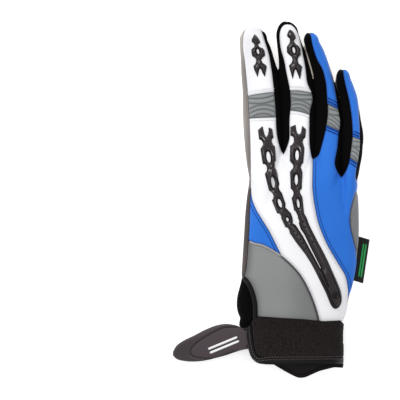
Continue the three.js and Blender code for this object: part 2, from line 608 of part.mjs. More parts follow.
const cuffInside = cuffForm(CUFF_GAP);
const cuffRing = (wall) => cuffForm(CUFF_GAP + wall).subtract(cuffInside);
const cuffPalmArea = between(CUFF_V, CUFF_TOP);
const bandArea = between(raised(CUFF_LOW, BINDING_WIDTH + SEAM_GAP), CUFF_TOP);
const bindingArea = between(CUFF_LOW, raised(CUFF_LOW, BINDING_WIDTH));
const cuffBack = aboveLine(-SEAM_GAP);

// Pull tab, drawn flat and then sloped from the cuff down to the table
function pullTab() {
  const leaf = (inset, rows) => {
    const part = TAB.slice(...rows);
    const low = part.map((row) => [row.x, row.low + inset]);
    const high = part.map((row) => [row.x, row.high - inset]);
    return [...low, ...high.reverse()];
  };
  const tip = TAB[TAB.length - 1].x;
  const grips = Array.from({ length: TAB_GRIPS }, (_, i) => {
    const x = tip + TAB_GRIP_PITCH * (i + 1);
    return prism(ribbon([[x, 0], [x, TAB_REACH]], TAB_GRIP_PITCH / 2), 0, TAB_THICK + TAB_STEP);
  });
  const inside = prism(leaf(TAB_RIM / 2, [0, -1]), -1, TAB_THICK + TAB_STEP + 1);
  const flat = join([
    prism(leaf(0, [0]), 0, TAB_THICK),
    prism(leaf(TAB_RIM, [1, -3]), 0, TAB_THICK + TAB_STEP),
    inside.intersect(join(grips)),
  ]);
  const geometry = geometryOf(flat);
  const fall = Math.tan((TAB_SLOPE * Math.PI) / 180);
  geometry.applyMatrix4(new THREE.Matrix4().makeShear(0, fall, 0, 0, 0, 0));
  geometry.translate(0, 0, TAB_ROOT_HEIGHT - fall * TAB[0].x);
  return solidOf(geometry).subtract(cuffForm(CUFF_GAP + CUFF_BINDING + SEAM_GAP));
}

const labelBlock = prism(LABEL, LABEL_HEIGHT, LABEL_HEIGHT + LABEL_THICK);

const pieces = {
  back_white: [panelAt(-20, 120), 'white'],
  back_blue: [panelAt(25, 110), 'blue'],
  back_blue_corner: [panelAt(-28, 95), 'blue'],
  back_grey_wrist: [panelAt(-15, 50), 'grey'],
  side_grey: [panelAt(37, 95), 'grey'],
  side_thumb: [panelAt(-36.6, 95), 'dark_grey'],
  side_little: [panelAt(42.6, 152), 'black'],
  vent_gusset: [panelAt(-36, 36), 'black'],
  tip_index: [panelAt(-31, 212), 'white'],
  tip_middle: [panelAt(-4, 212), 'white'],
  tip_ring: [panelAt(16, 210), 'blue'],
  tip_little: [panelAt(38, 170), 'blue'],
  flex_index: [ribbed('index', panelAt(-27, 176)), 'flex'],
  flex_middle: [ribbed('middle', panelAt(1, 180)), 'flex'],
  flex_ring: [ribbed('ring', panelAt(22, 170)), 'flex'],
  flex_little: [ribbed('little', panelAt(38, 149)), 'flex'],
  fourchette_index_middle: [panelAt(-14, 170), 'black'],
  fourchette_middle_ring: [panelAt(9.3, 165), 'black'],
  fourchette_ring_little: [panelAt(27.6, 150), 'black'],
  palm: [largest(palmSkin), 'leather'],
  thumb_front: [largest(thumbSkin.subtract(belowThumbSeam(SEAM_GAP))), 'leather'],
  thumb_back: [largest(thumbSkin.intersect(belowThumbSeam(0))), 'dark_grey'],
  vent_binding: [ventBinding(), 'satin'],
  cuff_band: [largest(cuffRing(CUFF_WALL).intersect(cuffBack).intersect(bandArea)), 'loop'],
  cuff_binding: [largest(cuffRing(CUFF_BINDING).intersect(cuffBack).intersect(bindingArea)), 'satin'],
  cuff_palm: [largest(cuffRing(CUFF_INNER_WALL).subtract(aboveLine(0)).intersect(cuffPalmArea)), 'loop'],
  pull_tab: [pullTab(), 'tab_rubber'],
  side_label: [largest(labelBlock.subtract(formOf(SEAM_GAP))), 'label'],
  relief_hand: [relief(HAND_RELIEF), 'rubber'],
  relief_index_tip: [relief(INDEX_RELIEF), 'rubber'],
  relief_middle_tip: [relief(MIDDLE_RELIEF), 'rubber'],
};

const group = new THREE.Group();

Object.entries(pieces).forEach(([name, [solid, look]]) => {
  const material = new THREE.MeshStandardMaterial({ ...LOOKS[look], metalness: 0 });
  const mesh = new THREE.Mesh(geometryOf(solid), material);
  mesh.name = name;
  group.add(mesh);
});

// The origin moves to the middle of the whole glove's footprint, on the table.
const box = new THREE.Box3().setFromObject(group);
const middle = box.getCenter(new THREE.Vector3());
group.position.set(-middle.x, -middle.y, -box.min.z);

export default group;
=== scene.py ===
# %% [markdown]
# # A riding glove, sewn in Blender
# The frame that is loaded first is the glove as plain hollow solids, one for each sewn panel. They have
# the right size and the right seams, and nothing of the cloth. This lesson makes one smooth skin from the
# same measurements, cuts it into panels along the same seams, and lays rubber, thread and binding on top.
# Everything is worked out in millimetres in the pattern's own axes, and turned into metres at the end.

# %% The frame and the tools
import math

import bmesh
import bpy
import numpy as np
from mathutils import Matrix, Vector
from mathutils.bvhtree import BVHTree


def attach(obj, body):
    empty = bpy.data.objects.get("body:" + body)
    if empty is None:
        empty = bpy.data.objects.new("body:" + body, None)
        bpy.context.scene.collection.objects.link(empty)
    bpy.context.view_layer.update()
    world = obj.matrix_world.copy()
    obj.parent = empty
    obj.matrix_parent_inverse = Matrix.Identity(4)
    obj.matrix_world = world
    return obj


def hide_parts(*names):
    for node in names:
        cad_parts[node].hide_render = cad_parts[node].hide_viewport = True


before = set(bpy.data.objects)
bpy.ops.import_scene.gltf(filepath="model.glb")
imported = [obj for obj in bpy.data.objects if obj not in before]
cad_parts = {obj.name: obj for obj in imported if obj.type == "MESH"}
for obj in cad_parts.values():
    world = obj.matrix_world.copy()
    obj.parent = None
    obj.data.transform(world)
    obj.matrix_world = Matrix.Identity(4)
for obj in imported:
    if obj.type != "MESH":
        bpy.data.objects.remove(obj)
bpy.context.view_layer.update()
ORIGIN = np.array([19.65, -112.804, 0.04])      # from the pattern's axes to the frame's, in millimetres

# %% [markdown]
# ## Measurements
# A glove pattern is a few tables: how high the back and the palm lie at each step from wrist to
# fingertips, how wide the hand and each finger are, and where each seam runs. Keeping them as tables means
# that every later step can ask for any height or width in between.

# %% Heights and widths along the glove
ARCH = np.array([  # step along the glove, palm's height, back's height
    (10, 2.3, 30), (18, 2.3, 30.5), (26, 2.6, 31.5), (34, 5.5, 35.5), (45, 11, 38), (60, 15.4, 41.5),
    (85, 16, 45.5), (110, 16, 47.5), (130, 16, 46.5), (144, 15, 42), (158, 10.5, 35), (172, 5, 27.5),
    (186, 1.5, 22), (200, 0, 19), (215, 0, 17.5), (240, 0, 17)])
HAND = np.array([  # step, left edge, right edge, dip towards the finger crotches
    (10, -32.6, 26.8, 0), (26, -34.4, 26.7, 0), (34, -41.4, 30.4, 0), (45, -43.2, 33.2, 0),
    (60, -40.2, 36.4, 0), (75, -39, 38.6, 0), (90, -38.2, 39.7, 0), (105, -37.2, 39.6, 0),
    (120, -35.8, 38.8, 0), (130, -34.5, 36.5, 1), (138, -34.5, 32, 3), (146, -33, 24, 7),
    (153, -30, 16, 12), (158, -26, 9, 16)])
FINGERS = {  # tip: middle, end and where its round end begins; then step, left edge, right edge
    "index": ((-32, 230.5, 222), [
        (108, -30, -14), (128, -34.6, -12.4), (142, -37, -11.6), (156, -38.3, -11.9), (170, -38.9, -12.1),
        (184, -39.3, -12.9), (200, -40.3, -14.6), (208, -40.7, -16.8), (216, -41.1, -19.4),
        (222, -41.3, -22.3)]),
    "middle": ((-10, 234.6, 225), [
        (108, -11, 8), (128, -11.4, 8.8), (142, -11.6, 9.6), (156, -11.9, 10.6), (170, -12.1, 11),
        (184, -12.9, 11.3), (200, -14.5, 8.6), (208, -15, 6.5), (216, -15.6, 3.6), (225, -16.2, 0)]),
    "ring": ((6.4, 226.8, 221), [
        (108, 10.5, 26), (128, 9.5, 27.6), (142, 9.6, 28.6), (156, 10.6, 29.1), (170, 11, 28.9),
        (184, 11.3, 26.5), (200, 8.9, 22.4), (208, 6.5, 19.8), (216, 3.9, 16.4), (221, 2.7, 13.6)]),
    "little": ((29, 201.8, 196), [
        (100, 28, 36), (114, 27.5, 38.5), (128, 27.8, 39.5), (142, 28.6, 42.2), (156, 29.1, 43.5),
        (170, 28.9, 42.2), (182, 27, 40.1), (189, 25.3, 37.7), (196, 24.9, 34.9)])}
THUMB = np.array([  # step across the glove, middle, half width, underside, top
    (-37, 79, 14, 7, 26), (-34.5, 81, 19, 2, 30), (-30, 84, 20, 0, 30), (-24, 88, 17.5, 0, 24),
    (-18, 92, 15, 0, 17), (-8, 99.5, 13, 0, 14), (3, 106, 12.2, 0, 14)])
THUMB_TIP = (17, 113.5)
THUMB_ROUND = 1.2       # how far its root bulges


def along(table, column, step):
    """A column of a table at any step, as a smooth curve through its rows."""
    table = np.asarray(table, float)
    steps, values = table[:, 0], table[:, column]
    low = np.r_[0, np.arange(len(steps) - 1)]
    high = np.r_[np.arange(1, len(steps)), len(steps) - 1]
    slope = (values[high] - values[low]) / (steps[high] - steps[low])
    i = np.clip(np.searchsorted(steps, step, side="right") - 1, 0, len(steps) - 2)
    span = steps[i + 1] - steps[i]
    t = np.clip((step - steps[i]) / span, 0, 1)
    return ((2 * t**3 - 3 * t**2 + 1) * values[i] + (t**3 - 2 * t**2 + t) * span * slope[i]
            + (3 * t**2 - 2 * t**3) * values[i + 1] + (t**3 - t**2) * span * slope[i + 1])


print("height at the knuckles:", along(ARCH, 2, 120.0).round(2), "mm")

# %% Seams seen from above
SEAMS = {
    "index_outer": [(-26, 240), (-37.6, 229.6), (-39.5, 218), (-38.2, 208), (-36.4, 190), (-35.2, 172),
                    (-34.5, 152), (-34.4, 128), (-34.2, 121)],
    "index_inner": [(-24, 240), (-25.4, 229), (-23.4, 222), (-20.4, 212), (-18.8, 201), (-17.2, 187),
                    (-16.1, 174), (-15.8, 162), (-14.7, 154), (-11.6, 144.4)],
    "middle_left": [(-8.6, 241), (-8.6, 233.5), (-11, 232.6), (-13.3, 229.8), (-14.4, 225), (-13.6, 216),
                    (-11.2, 208), (-9.6, 200), (-7.2, 188), (-6.6, 178), (-7.6, 168), (-8, 154),
                    (-11.6, 144.4)],
    "middle_right": [(-8.6, 241), (-8.6, 233.5), (-5.8, 232.9), (-2.5, 230), (-0.2, 225.6), (1.4, 220),
                     (2.8, 212), (4.3, 202), (5.4, 193), (8.4, 186), (9.2, 181.5), (7.2, 173), (6.6, 164),
                     (6.8, 150), (8.5, 141)],
    "ring_left": [(4, 236), (7.2, 226), (8.5, 218), (11.4, 209), (15.4, 202), (17.7, 193), (18.4, 182),
                  (18.8, 173), (17.2, 162), (14.6, 152), (11.6, 143.5), (8.5, 141)],
    "ring_right": [(10, 236), (16, 222), (20.8, 206), (24, 192), (25.4, 184), (26.8, 174), (27.9, 165),
                   (26.6, 157), (25.6, 148), (23.8, 137), (27.8, 128.4)],
    "little_left": [(29.5, 210), (29.6, 200.5), (31, 192), (33.4, 181), (35, 170), (35.4, 158),
                    (34.2, 148), (32, 137), (27.8, 128.4)],
    "little_outer": [(36, 210), (40.5, 183), (40.9, 170), (41.2, 160), (40.9, 148), (39.4, 138),
                     (38.2, 131), (38.6, 126.4), (43, 124.5), (54, 122)],
    "white_blue": [(8.5, 141), (8.2, 130), (8.2, 120), (10, 107), (12.6, 96), (18, 83), (26, 69.5),
                   (31, 61), (33, 52), (34.8, 40), (60, 34)],
    "blue_side": [(54, 122), (44, 120.5), (38.6, 118.4), (35.6, 111), (34, 103), (34.2, 95), (36, 87),
                  (38, 80), (41, 70), (60, 60)],
    "thumb_side": [(-34.2, 121), (-33.4, 114), (-31, 107.5), (-26.6, 100), (-21.6, 92), (-17, 83),
                   (-13, 74.8)],
    "white_grey": [(-13, 74.8), (-6, 68.5), (0, 61.5), (5.3, 52), (9.8, 41), (12.6, 31), (15, 12)],
    "blue_grey": [(-35.6, 85.8), (-32, 83.6), (-26, 82.2), (-19.5, 79), (-13, 74.8)],
    "thumb_edge": [(-34.2, 121), (-34.8, 106), (-35.2, 94), (-35.6, 85.8), (-36.4, 74), (-37.2, 66),
                   (-38.6, 60.6)],
    "slit": [(-38.6, 60.6), (-35, 56), (-32.4, 50), (-30.8, 43), (-30.4, 33), (-30.6, 12)],
    "index_low": [(-45, 167.6), (-30, 169), (-8, 169.6)],
    "index_high": [(-45, 181.5), (-32, 184.5), (-8, 187.5)],
    "middle_low": [(-16, 174.6), (0, 173.2), (14, 168.4)],
    "middle_high": [(-16, 187.2), (0, 187.3), (14, 184.6)],
    "ring_low": [(10, 168), (22.5, 161.8), (34, 157.6)],
    "ring_high": [(10, 184), (20, 178), (32, 172.4)],
    "little_low": [(28, 144.8), (36.5, 139.6), (46, 133.5)],
    "little_high": [(28, 160.6), (38, 155.2), (48, 152.4)]}


def smooth(points, step=0.7):
    """A smooth curve through points seen from above, as evenly spaced points."""
    p = np.array(points, float)
    if len(p) > 2:
        t = np.r_[0, np.cumsum(np.hypot(*np.diff(p, axis=0).T) ** 0.5)]
        slope = np.gradient(p, t, axis=0)
        fine = np.linspace(0, t[-1], 60 * len(p))
        i = np.clip(np.searchsorted(t, fine, side="right") - 1, 0, len(t) - 2)
        span = (t[i + 1] - t[i])[:, None]
        u = (fine - t[i])[:, None] / span
        p = ((2 * u**3 - 3 * u**2 + 1) * p[i] + (u**3 - 2 * u**2 + u) * span * slope[i]
             + (3 * u**2 - 2 * u**3) * p[i + 1] + (u**3 - u**2) * span * slope[i + 1])
    run = np.r_[0, np.cumsum(np.hypot(*np.diff(p, axis=0).T))]
    even = np.linspace(0, run[-1], max(2, round(run[-1] / step) + 1))
    return np.column_stack([np.interp(even, run, c) for c in p.T])


CURVES = {name: smooth(points) for name, points in SEAMS.items()}
print("seam length in all:", round(sum(0.7 * (len(c) - 1) for c in CURVES.values())), "mm")

# %% [markdown]
# ## One smooth skin
# A sewn glove is close to a set of tubes: the hand and four fingers. They could be joined with booleans,
# which leaves sharp creases where a finger leaves the hand. A voxel remesh joins them into one even skin
# instead, which is then smoothed where cloth would round itself. The fingers lie almost against each
# other, closer than a voxel, so they are spread a little before the remesh and closed again after it.

# %% Ovals and tubes
WALL = 1.6
SPREAD = 2.6            # extra air between two fingers while the skin is made
SPREAD_RAMP = 9.0       # length over which they spread
CROTCH = {"index": 145.5, "ring": 142.0, "little": 129.5}     # where each leaves the finger beside it
PAIRS = (("index", "middle", CROTCH["index"]), ("middle", "ring", CROTCH["ring"]),
         ("ring", "little", CROTCH["little"]))
FINGER_AIR = 0.1
CLOSER = 0.3            # how much further two fingers press together than they were drawn
PRESS = 0.8             # how far each reaches past the line between them where they touch
TOUCH_END = {"middle": 204, "ring": 211, "little": 196}       # how far up each lies against the one before
TIP_ROUNDING = 0.9      # length that smoothing takes off a fingertip
VOXEL = 0.85


def ease(t):
    """Runs from 0 to 1 with soft ends."""
    t = np.clip(t, 0, 1)
    return t * t * (3 - 2 * t)


def oval(middle, half, sides):
    """A closed section, rounder over the back than under the palm."""
    a = 2 * np.pi * (np.arange(sides) + 0.5) / sides
    power = 2 / np.where(np.sin(a) > 0, 2.3, 2.9)
    across = middle[0] + half[0] * np.sign(np.cos(a)) * np.abs(np.cos(a)) ** power
    up = middle[1] + half[1] * np.sign(np.sin(a)) * np.abs(np.sin(a)) ** power
    return across, up


def oval_between(ends, span, sides):
    """The same section, given by its two sides and by its underside and top."""
    return oval((sum(ends) / 2, sum(span) / 2), ((ends[1] - ends[0]) / 2, (span[1] - span[0]) / 2), sides)


def tube(rings):
    """A closed body through rings of points, each end shut by a fan."""
    rings = np.array(rings)
    count, sides = rings.shape[:2]
    points = np.vstack([rings.reshape(-1, 3), rings[0].mean(0), rings[-1].mean(0)])
    i = np.arange(sides)
    j = (i + 1) % sides
    faces = []
    for k in range(count - 1):
        a, b = k * sides, (k + 1) * sides
        faces += [np.column_stack([a + i, a + j, b + j]), np.column_stack([a + i, b + j, b + i])]
    first, last = count * sides, (count - 1) * sides
    faces += [np.column_stack([np.full(sides, first), j, i]),
              np.column_stack([np.full(sides, first + 1), last + i, last + j])]
    faces = np.vstack(faces)
    p, q, r = (points[faces[:, n]] for n in range(3))
    if np.einsum("ij,ij->i", p, np.cross(q, r)).sum() < 0:
        faces = faces[:, ::-1]
    return points, faces


def finger_shift(name, y):
    """How far a finger is moved sideways while the fingers are spread."""
    opened = {n: SPREAD * ease((y - CROTCH[n]) / SPREAD_RAMP) for n in CROTCH}
    return {"index": -opened["index"], "middle": 0 * y, "ring": opened["ring"],
            "little": opened["ring"] + opened["little"]}[name]


print("little finger spread by:", finger_shift("little", 200.0).round(2), "mm")

# %% The hand and the fingers as tubes
RING_STEP = 1.5
HAND_SIDES, FINGER_SIDES = 120, 72
FINGER_ROOT, ROOT_DEPTH = 128, 3.0      # below this step a finger sinks into the hand, and how deep
TIP_TURNS = np.radians([0, 15, 30, 45, 58, 69, 79, 86])


def hand_rings():
    """The hand's sections, from the wrist to the finger crotches."""
    for y in np.arange(13, 158.1, RING_STEP):
        left, right, dip = (along(HAND, column, y) for column in (1, 2, 3))
        top, bottom = along(ARCH, 2, y) - dip, along(ARCH, 1, y) + dip / 4
        x, z = oval_between((left, right), (bottom, top), HAND_SIDES)
        yield np.column_stack([x, np.full_like(x, y), z])


def finger_rings(name):
    """A finger's sections, from inside the hand to its round end."""
    (tip_x, tip_y, tip_from), rows = FINGERS[name]
    for y in np.arange(rows[0][0], tip_from, RING_STEP):
        left, right = along(rows, 1, y) + FINGER_AIR / 2, along(rows, 2, y) - FINGER_AIR / 2
        sunk = max(0, ROOT_DEPTH * (FINGER_ROOT - y) / 20)
        low, high = along(ARCH, 1, y) + sunk, along(ARCH, 2, y) - sunk
        x, z = oval_between((left, right), (low, high), FINGER_SIDES)
        yield np.column_stack([x + finger_shift(name, y), np.full_like(x, y), z])
    left, right = along(rows, 1, tip_from) + FINGER_AIR / 2, along(rows, 2, tip_from) - FINGER_AIR / 2
    low, high = along(ARCH, 1, tip_from), along(ARCH, 2, tip_from)
    middle = (low + high) / 2 - 1
    for turn in TIP_TURNS:
        t, s = np.sin(turn), np.cos(turn)
        ends = tip_x - (tip_x - left) * s, tip_x + (right - tip_x) * s
        span = middle - (middle - low) * s, middle + (high - middle) * s
        x, z = oval_between(ends, span, FINGER_SIDES)
        y = tip_from + (tip_y + TIP_ROUNDING - tip_from) * t
        yield np.column_stack([x + finger_shift(name, y), np.full_like(x, y), z])


tubes = [tube(list(hand_rings()))] + [tube(list(finger_rings(name))) for name in FINGERS]
print("tubes:", len(tubes), "triangles in them:", sum(len(faces) for _, faces in tubes))


# %% Joining them with a voxel remesh
def voxel_skin(bodies, voxel):
    """One closed skin round several overlapping bodies, as points and four-sided faces."""
    starts = np.cumsum([0] + [len(points) for points, _ in bodies[:-1]])
    mesh = bpy.data.meshes.new("skin_source")
    mesh.from_pydata(np.vstack([points for points, _ in bodies]).tolist(), [],
                     np.vstack([faces + s for s, (_, faces) in zip(starts, bodies)]).tolist())
    source = bpy.data.objects.new("skin_source", mesh)
    bpy.context.scene.collection.objects.link(source)
    remesh = source.modifiers.new("skin", "REMESH")
    remesh.mode = "VOXEL"
    remesh.voxel_size = voxel
    made = source.evaluated_get(bpy.context.evaluated_depsgraph_get()).to_mesh()
    points = np.empty(len(made.vertices) * 3)
    made.vertices.foreach_get("co", points)
    corners = np.empty(len(made.polygons) * 4, int)
    made.polygons.foreach_get("vertices", corners)
    bpy.data.objects.remove(source)
    bpy.data.meshes.remove(mesh)
    return points.reshape(-1, 3), corners.reshape(-1, 4)


skin, quads = voxel_skin(tubes, VOXEL)
print("skin:", len(skin), "points,", len(quads), "faces")


# %% Smoothing it, most where the fingers leave the hand
SMOOTHING, KNUCKLE_SMOOTHING, ROUNDS = 0.1, 0.5, 24
KNUCKLES_FROM, KNUCKLES_TO = 98, 176


def neighbours_mean(points, edges, count):
    """Each point's mean neighbour."""
    total = [np.bincount(edges[:, 0], points[edges[:, 1], c], count)
             + np.bincount(edges[:, 1], points[edges[:, 0], c], count) for c in range(3)]
    return np.column_stack(total) / np.bincount(edges.ravel(), minlength=count)[:, None]


def smoothed(points, edges, weight, rounds):
    """Evens out a surface. Each round pulls it in and pushes it out again, so that it doesn't shrink."""
    points = points.copy()
    for _ in range(rounds):
        for pull in (1, -1.03):
            points += (neighbours_mean(points, edges, len(points)) - points) * pull * weight[:, None]
    return points


edges = np.unique(np.sort(np.vstack([quads[:, [i, (i + 1) % 4]] for i in range(4)]), axis=1), axis=0)
knuckles = ease((skin[:, 1] - KNUCKLES_FROM) / 16) * ease((KNUCKLES_TO - skin[:, 1]) / 14)
skin = smoothed(skin, edges, SMOOTHING + KNUCKLE_SMOOTHING * knuckles, ROUNDS)
print("length after smoothing:", np.ptp(skin[:, 1]).round(1), "mm")


# %% Closing the fingers again, side by side
WEB_WIDTH, WEB_LENGTH = 7.0, 14.0       # how far from a crotch the folds of the web are evened out
WEB_SMOOTHING, WEB_ROUNDS = 0.6, 30
TOUCH_REACH = 9         # how far from the line between two fingers their sides are moved to meet


def closed_again(points):
    """Puts spread fingers back side by side."""
    y = points[:, 1]
    shift = {name: finger_shift(name, y) for name in FINGERS}
    gaps = []
    for a, b, _ in PAIRS:
        ends = [along(FINGERS[n][1], column, y) + shift[n] for n, column in ((a, 2), (b, 1))]
        gaps.append((ends[0] + ends[1]) / 2)
    # past a shorter finger's tip the dividing line leans on, so that a finger stays whole
    names = np.select([points[:, 0] < gaps[0], points[:, 0] < gaps[1], points[:, 0] < gaps[2]], [0, 1, 2], 3)
    moved = points.copy()
    for i, name in enumerate(FINGERS):
        moved[:, 0] -= np.where(names == i, shift[name] * (1 + CLOSER / SPREAD), 0)
    return moved


def evened_webs(points, edges):
    """Smooths the folds that closing the fingers leaves below each crotch and on its palm side."""
    x, y, z = points.T
    under, over = along(ARCH, 1, y), along(ARCH, 2, y)
    palm_side = ease((0.35 - (z - under) / (over - under)) / 0.15)
    weight = np.zeros(len(points))
    for a, b, crotch in PAIRS:
        middle = (along(FINGERS[a][1], 2, crotch) + along(FINGERS[b][1], 1, crotch)) / 2
        near = np.exp(-((x - middle) / WEB_WIDTH) ** 2 - ((y - crotch + 4) / WEB_LENGTH) ** 2)
        share = np.maximum(palm_side, ease((crotch - 1 - y) / 6))
        weight = np.maximum(weight, WEB_SMOOTHING * near * share)
    return smoothed(points, edges, weight, WEB_ROUNDS)


def pressed_together(points):
    """Closes the thin gap that smoothing leaves between two fingers that touch."""
    for a, b, crotch in PAIRS:
        steps = np.arange(crotch, TOUCH_END[b], 1.5)
        line = (along(FINGERS[a][1], 2, steps) + along(FINGERS[b][1], 1, steps)) / 2
        away = points[:, 0] - np.interp(points[:, 1], steps, line)
        push = np.zeros((2, len(steps)))
        for i, step in enumerate(steps):
            level = np.abs(points[:, 1] - step) < 1
            sides = (-away[level & (away < 0) & (away > -6)], away[level & (away > 0) & (away < 6)])
            for side, distances in enumerate(sides):
                near = distances.min() if len(distances) else TOUCH_REACH
                push[side, i] = (near + PRESS) * ease((2.2 - near) / 1.2)
        for side, sign in ((0, 1), (1, -1)):
            amount = np.interp(points[:, 1], steps, np.convolve(push[side], np.ones(3) / 3, "same"))
            amount *= ease((points[:, 1] - crotch) / 4) * ease((TOUCH_END[b] - points[:, 1]) / 4)
            chosen = away < 0 if side == 0 else away > 0
            points[:, 0] += np.where(chosen, sign * amount * ease(1 - np.abs(away) / TOUCH_REACH), 0)
    return points


skin = evened_webs(pressed_together(closed_again(skin)), edges)
print("skin's box:", skin.min(0).round(2), skin.max(0).round(2))

# %% [markdown]
# ## Soft unevenness
# Neoprene and knit never lie dead flat. A few long waves, too shallow to see as bumps, make the light
# run over the panels as it does over cloth. They are sums of sines with fixed random directions, so the
# glove is the same each time.

# %% Long shallow waves
waves = np.random.default_rng(7)
WAVE_HEIGHT, WAVE_LENGTH, SKIN_RISE = 0.3, 40, 0.05
TABLE_AIR = 0.02        # the least height of the skin over the table


def unevenness(points, longest, count=9):
    """A smooth number from about -1 to 1 at each point."""
    total = np.zeros(len(points))
    for _ in range(count):
        direction = waves.normal(size=3)
        direction /= np.linalg.norm(direction)
        length = longest * waves.uniform(0.35, 1)
        total += np.sin(points @ direction * 2 * np.pi / length + waves.uniform(0, 2 * np.pi))
    return total / count**0.5 / 1.4


def triangles_of(faces):
    """Four-sided faces, each cut into two triangles."""
    return np.vstack([faces[:, [0, 1, 2]], faces[:, [0, 2, 3]]])


def normals_of(points, triangles):
    """Smooth normals at the points."""
    p, q, r = (points[triangles[:, n]] for n in range(3))
    face = np.cross(q - p, r - p)
    total = np.column_stack([sum(np.bincount(triangles[:, n], face[:, c], len(points)) for n in range(3))
                             for c in range(3)])
    return total / np.maximum(np.linalg.norm(total, axis=1), 1e-9)[:, None]


triangles = triangles_of(quads)
normals = normals_of(skin, triangles)
skin = skin + normals * (WAVE_HEIGHT * unevenness(skin, WAVE_LENGTH) + SKIN_RISE)[:, None]
skin[:, 2] = np.maximum(skin[:, 2], TABLE_AIR)
normals = normals_of(skin, triangles)
print("lowest point:", skin[:, 2].min().round(3), "mm")

# %% [markdown]
# ## Cutting the panels
# A panel is the part of the skin inside a closed line seen from above. For each point of the skin the
# distance to that line is measured, positive inside, and every triangle that the line crosses is cut
# exactly where the distance is zero. That gives clean sewn edges however coarse the skin is, and the
# same distance later tells where the seam's groove and the turned edge go.

# %% Distance to a closed line
MARGIN, FAR_OUTSIDE = 6, -1e3           # further from a line than the margin, only the sign is needed


def segment_distance(points, starts, ends):
    """Each point's distance to the nearest of these segments."""
    nearest = np.full(len(points), 1e9)
    for k in range(0, len(points), 4000):
        p = points[k:k + 4000, None, :]
        d = ends - starts
        t = np.clip(((p - starts) * d).sum(2) / np.maximum((d * d).sum(1), 1e-12), 0, 1)
        away = p - starts - t[..., None] * d
        nearest[k:k + 4000] = np.sqrt((away**2).sum(2).min(1))
    return nearest


def is_inside(points, outline):
    """Whether each point lies inside a closed line: a ray from it crosses the line an odd number of times."""
    a, b = outline, np.roll(outline, -1, axis=0)
    inside = np.zeros(len(points), bool)
    for (x0, y0), (x1, y1) in zip(a, b):
        if y0 != y1:
            crosses = (y0 > points[:, 1]) != (y1 > points[:, 1])
            inside ^= crosses & (points[:, 0] < x0 + (points[:, 1] - y0) * (x1 - x0) / (y1 - y0))
    return inside


def outline_distance(points, outline):
    """Distance to a closed line seen from above: positive inside it, negative outside."""
    points, outline = points[:, :2], np.asarray(outline, float)
    low, high = outline.min(0) - MARGIN, outline.max(0) + MARGIN
    near = ((points > low) & (points < high)).all(1)
    result = np.full(len(points), FAR_OUTSIDE)
    found = segment_distance(points[near], outline, np.roll(outline, -1, axis=0))
    result[near] = np.where(is_inside(points[near], outline), found, -found)
    return result


def curve_distance(points, curve):
    """Distance to an open line seen from above."""
    return segment_distance(points[:, :2], curve[:-1], curve[1:])


square = [(-5, -5), (5, -5), (5, 5), (-5, 5)]
print("the middle of a 10 mm square is inside it by", outline_distance(np.zeros((1, 2)), square)[0], "mm")


# %% Cutting triangles where a number passes zero
def clip(points, triangles, value):
    """Keeps the part of a mesh where value is positive. Extra columns of points are carried along."""
    value = np.where(np.abs(value) < 1e-4, 1e-4, value)
    inside = value > 0
    kept = inside[triangles].sum(1)

    def turned(faces, odd):
        first = odd.argmax(1)
        rows = np.arange(len(faces))
        return np.column_stack([faces[rows, (first + j) % 3] for j in range(3)])

    one = turned(triangles[kept == 1], inside[triangles[kept == 1]])
    two = turned(triangles[kept == 2], ~inside[triangles[kept == 2]])
    crossed = np.sort(np.vstack([one[:, :2], one[:, [0, 2]], two[:, :2], two[:, [0, 2]]]), axis=1)
    pairs, place = np.unique(crossed, axis=0, return_inverse=True)
    a, b = pairs.T
    share = (value[a] / (value[a] - value[b]))[:, None]
    points = np.vstack([points, points[a] + (points[b] - points[a]) * share])
    place = place.ravel() + len(value)
    m, n = len(one), len(two)
    e, f, g, h = place[:m], place[m:2 * m], place[2 * m:2 * m + n], place[2 * m + n:]
    faces = np.vstack([triangles[kept == 3], np.column_stack([one[:, 0], e, f]),
                       np.column_stack([g, two[:, 1], two[:, 2]]), np.column_stack([g, two[:, 2], h])])
    used, faces = np.unique(faces, return_inverse=True)
    return points[used], faces.reshape(-1, 3)


cut_corner = clip(np.array([(0, 0), (2, 0), (0, 2)]), np.array([(0, 1, 2)]), np.array([1, -1, -1]))[0]
print("a triangle's corner, cut off halfway:", cut_corner.tolist())


# %% Closed lines made of seams
def stretch(curve, before, after):
    """The part of a curve between its nearest approaches to the curves before and after it."""
    def nearest(other):
        away = np.linalg.norm(curve[:, None] - other[None], axis=2)
        return np.unravel_index(away.argmin(), away.shape)[0]
    i, j = nearest(before), nearest(after)
    return curve[i:j + 1] if i <= j else curve[j:i + 1][::-1]


def traced(*names):
    """A closed line that follows these seams in turn. A seam alone closes on itself."""
    if len(names) == 1:
        return CURVES[names[0]]
    curves = [CURVES[name] for name in names]
    return np.vstack([stretch(c, curves[i - 1], curves[(i + 1) % len(curves)])
                      for i, c in enumerate(curves)])


def straight(start, end):
    """A straight line as evenly spaced points."""
    return smooth((start, end), 1.5)


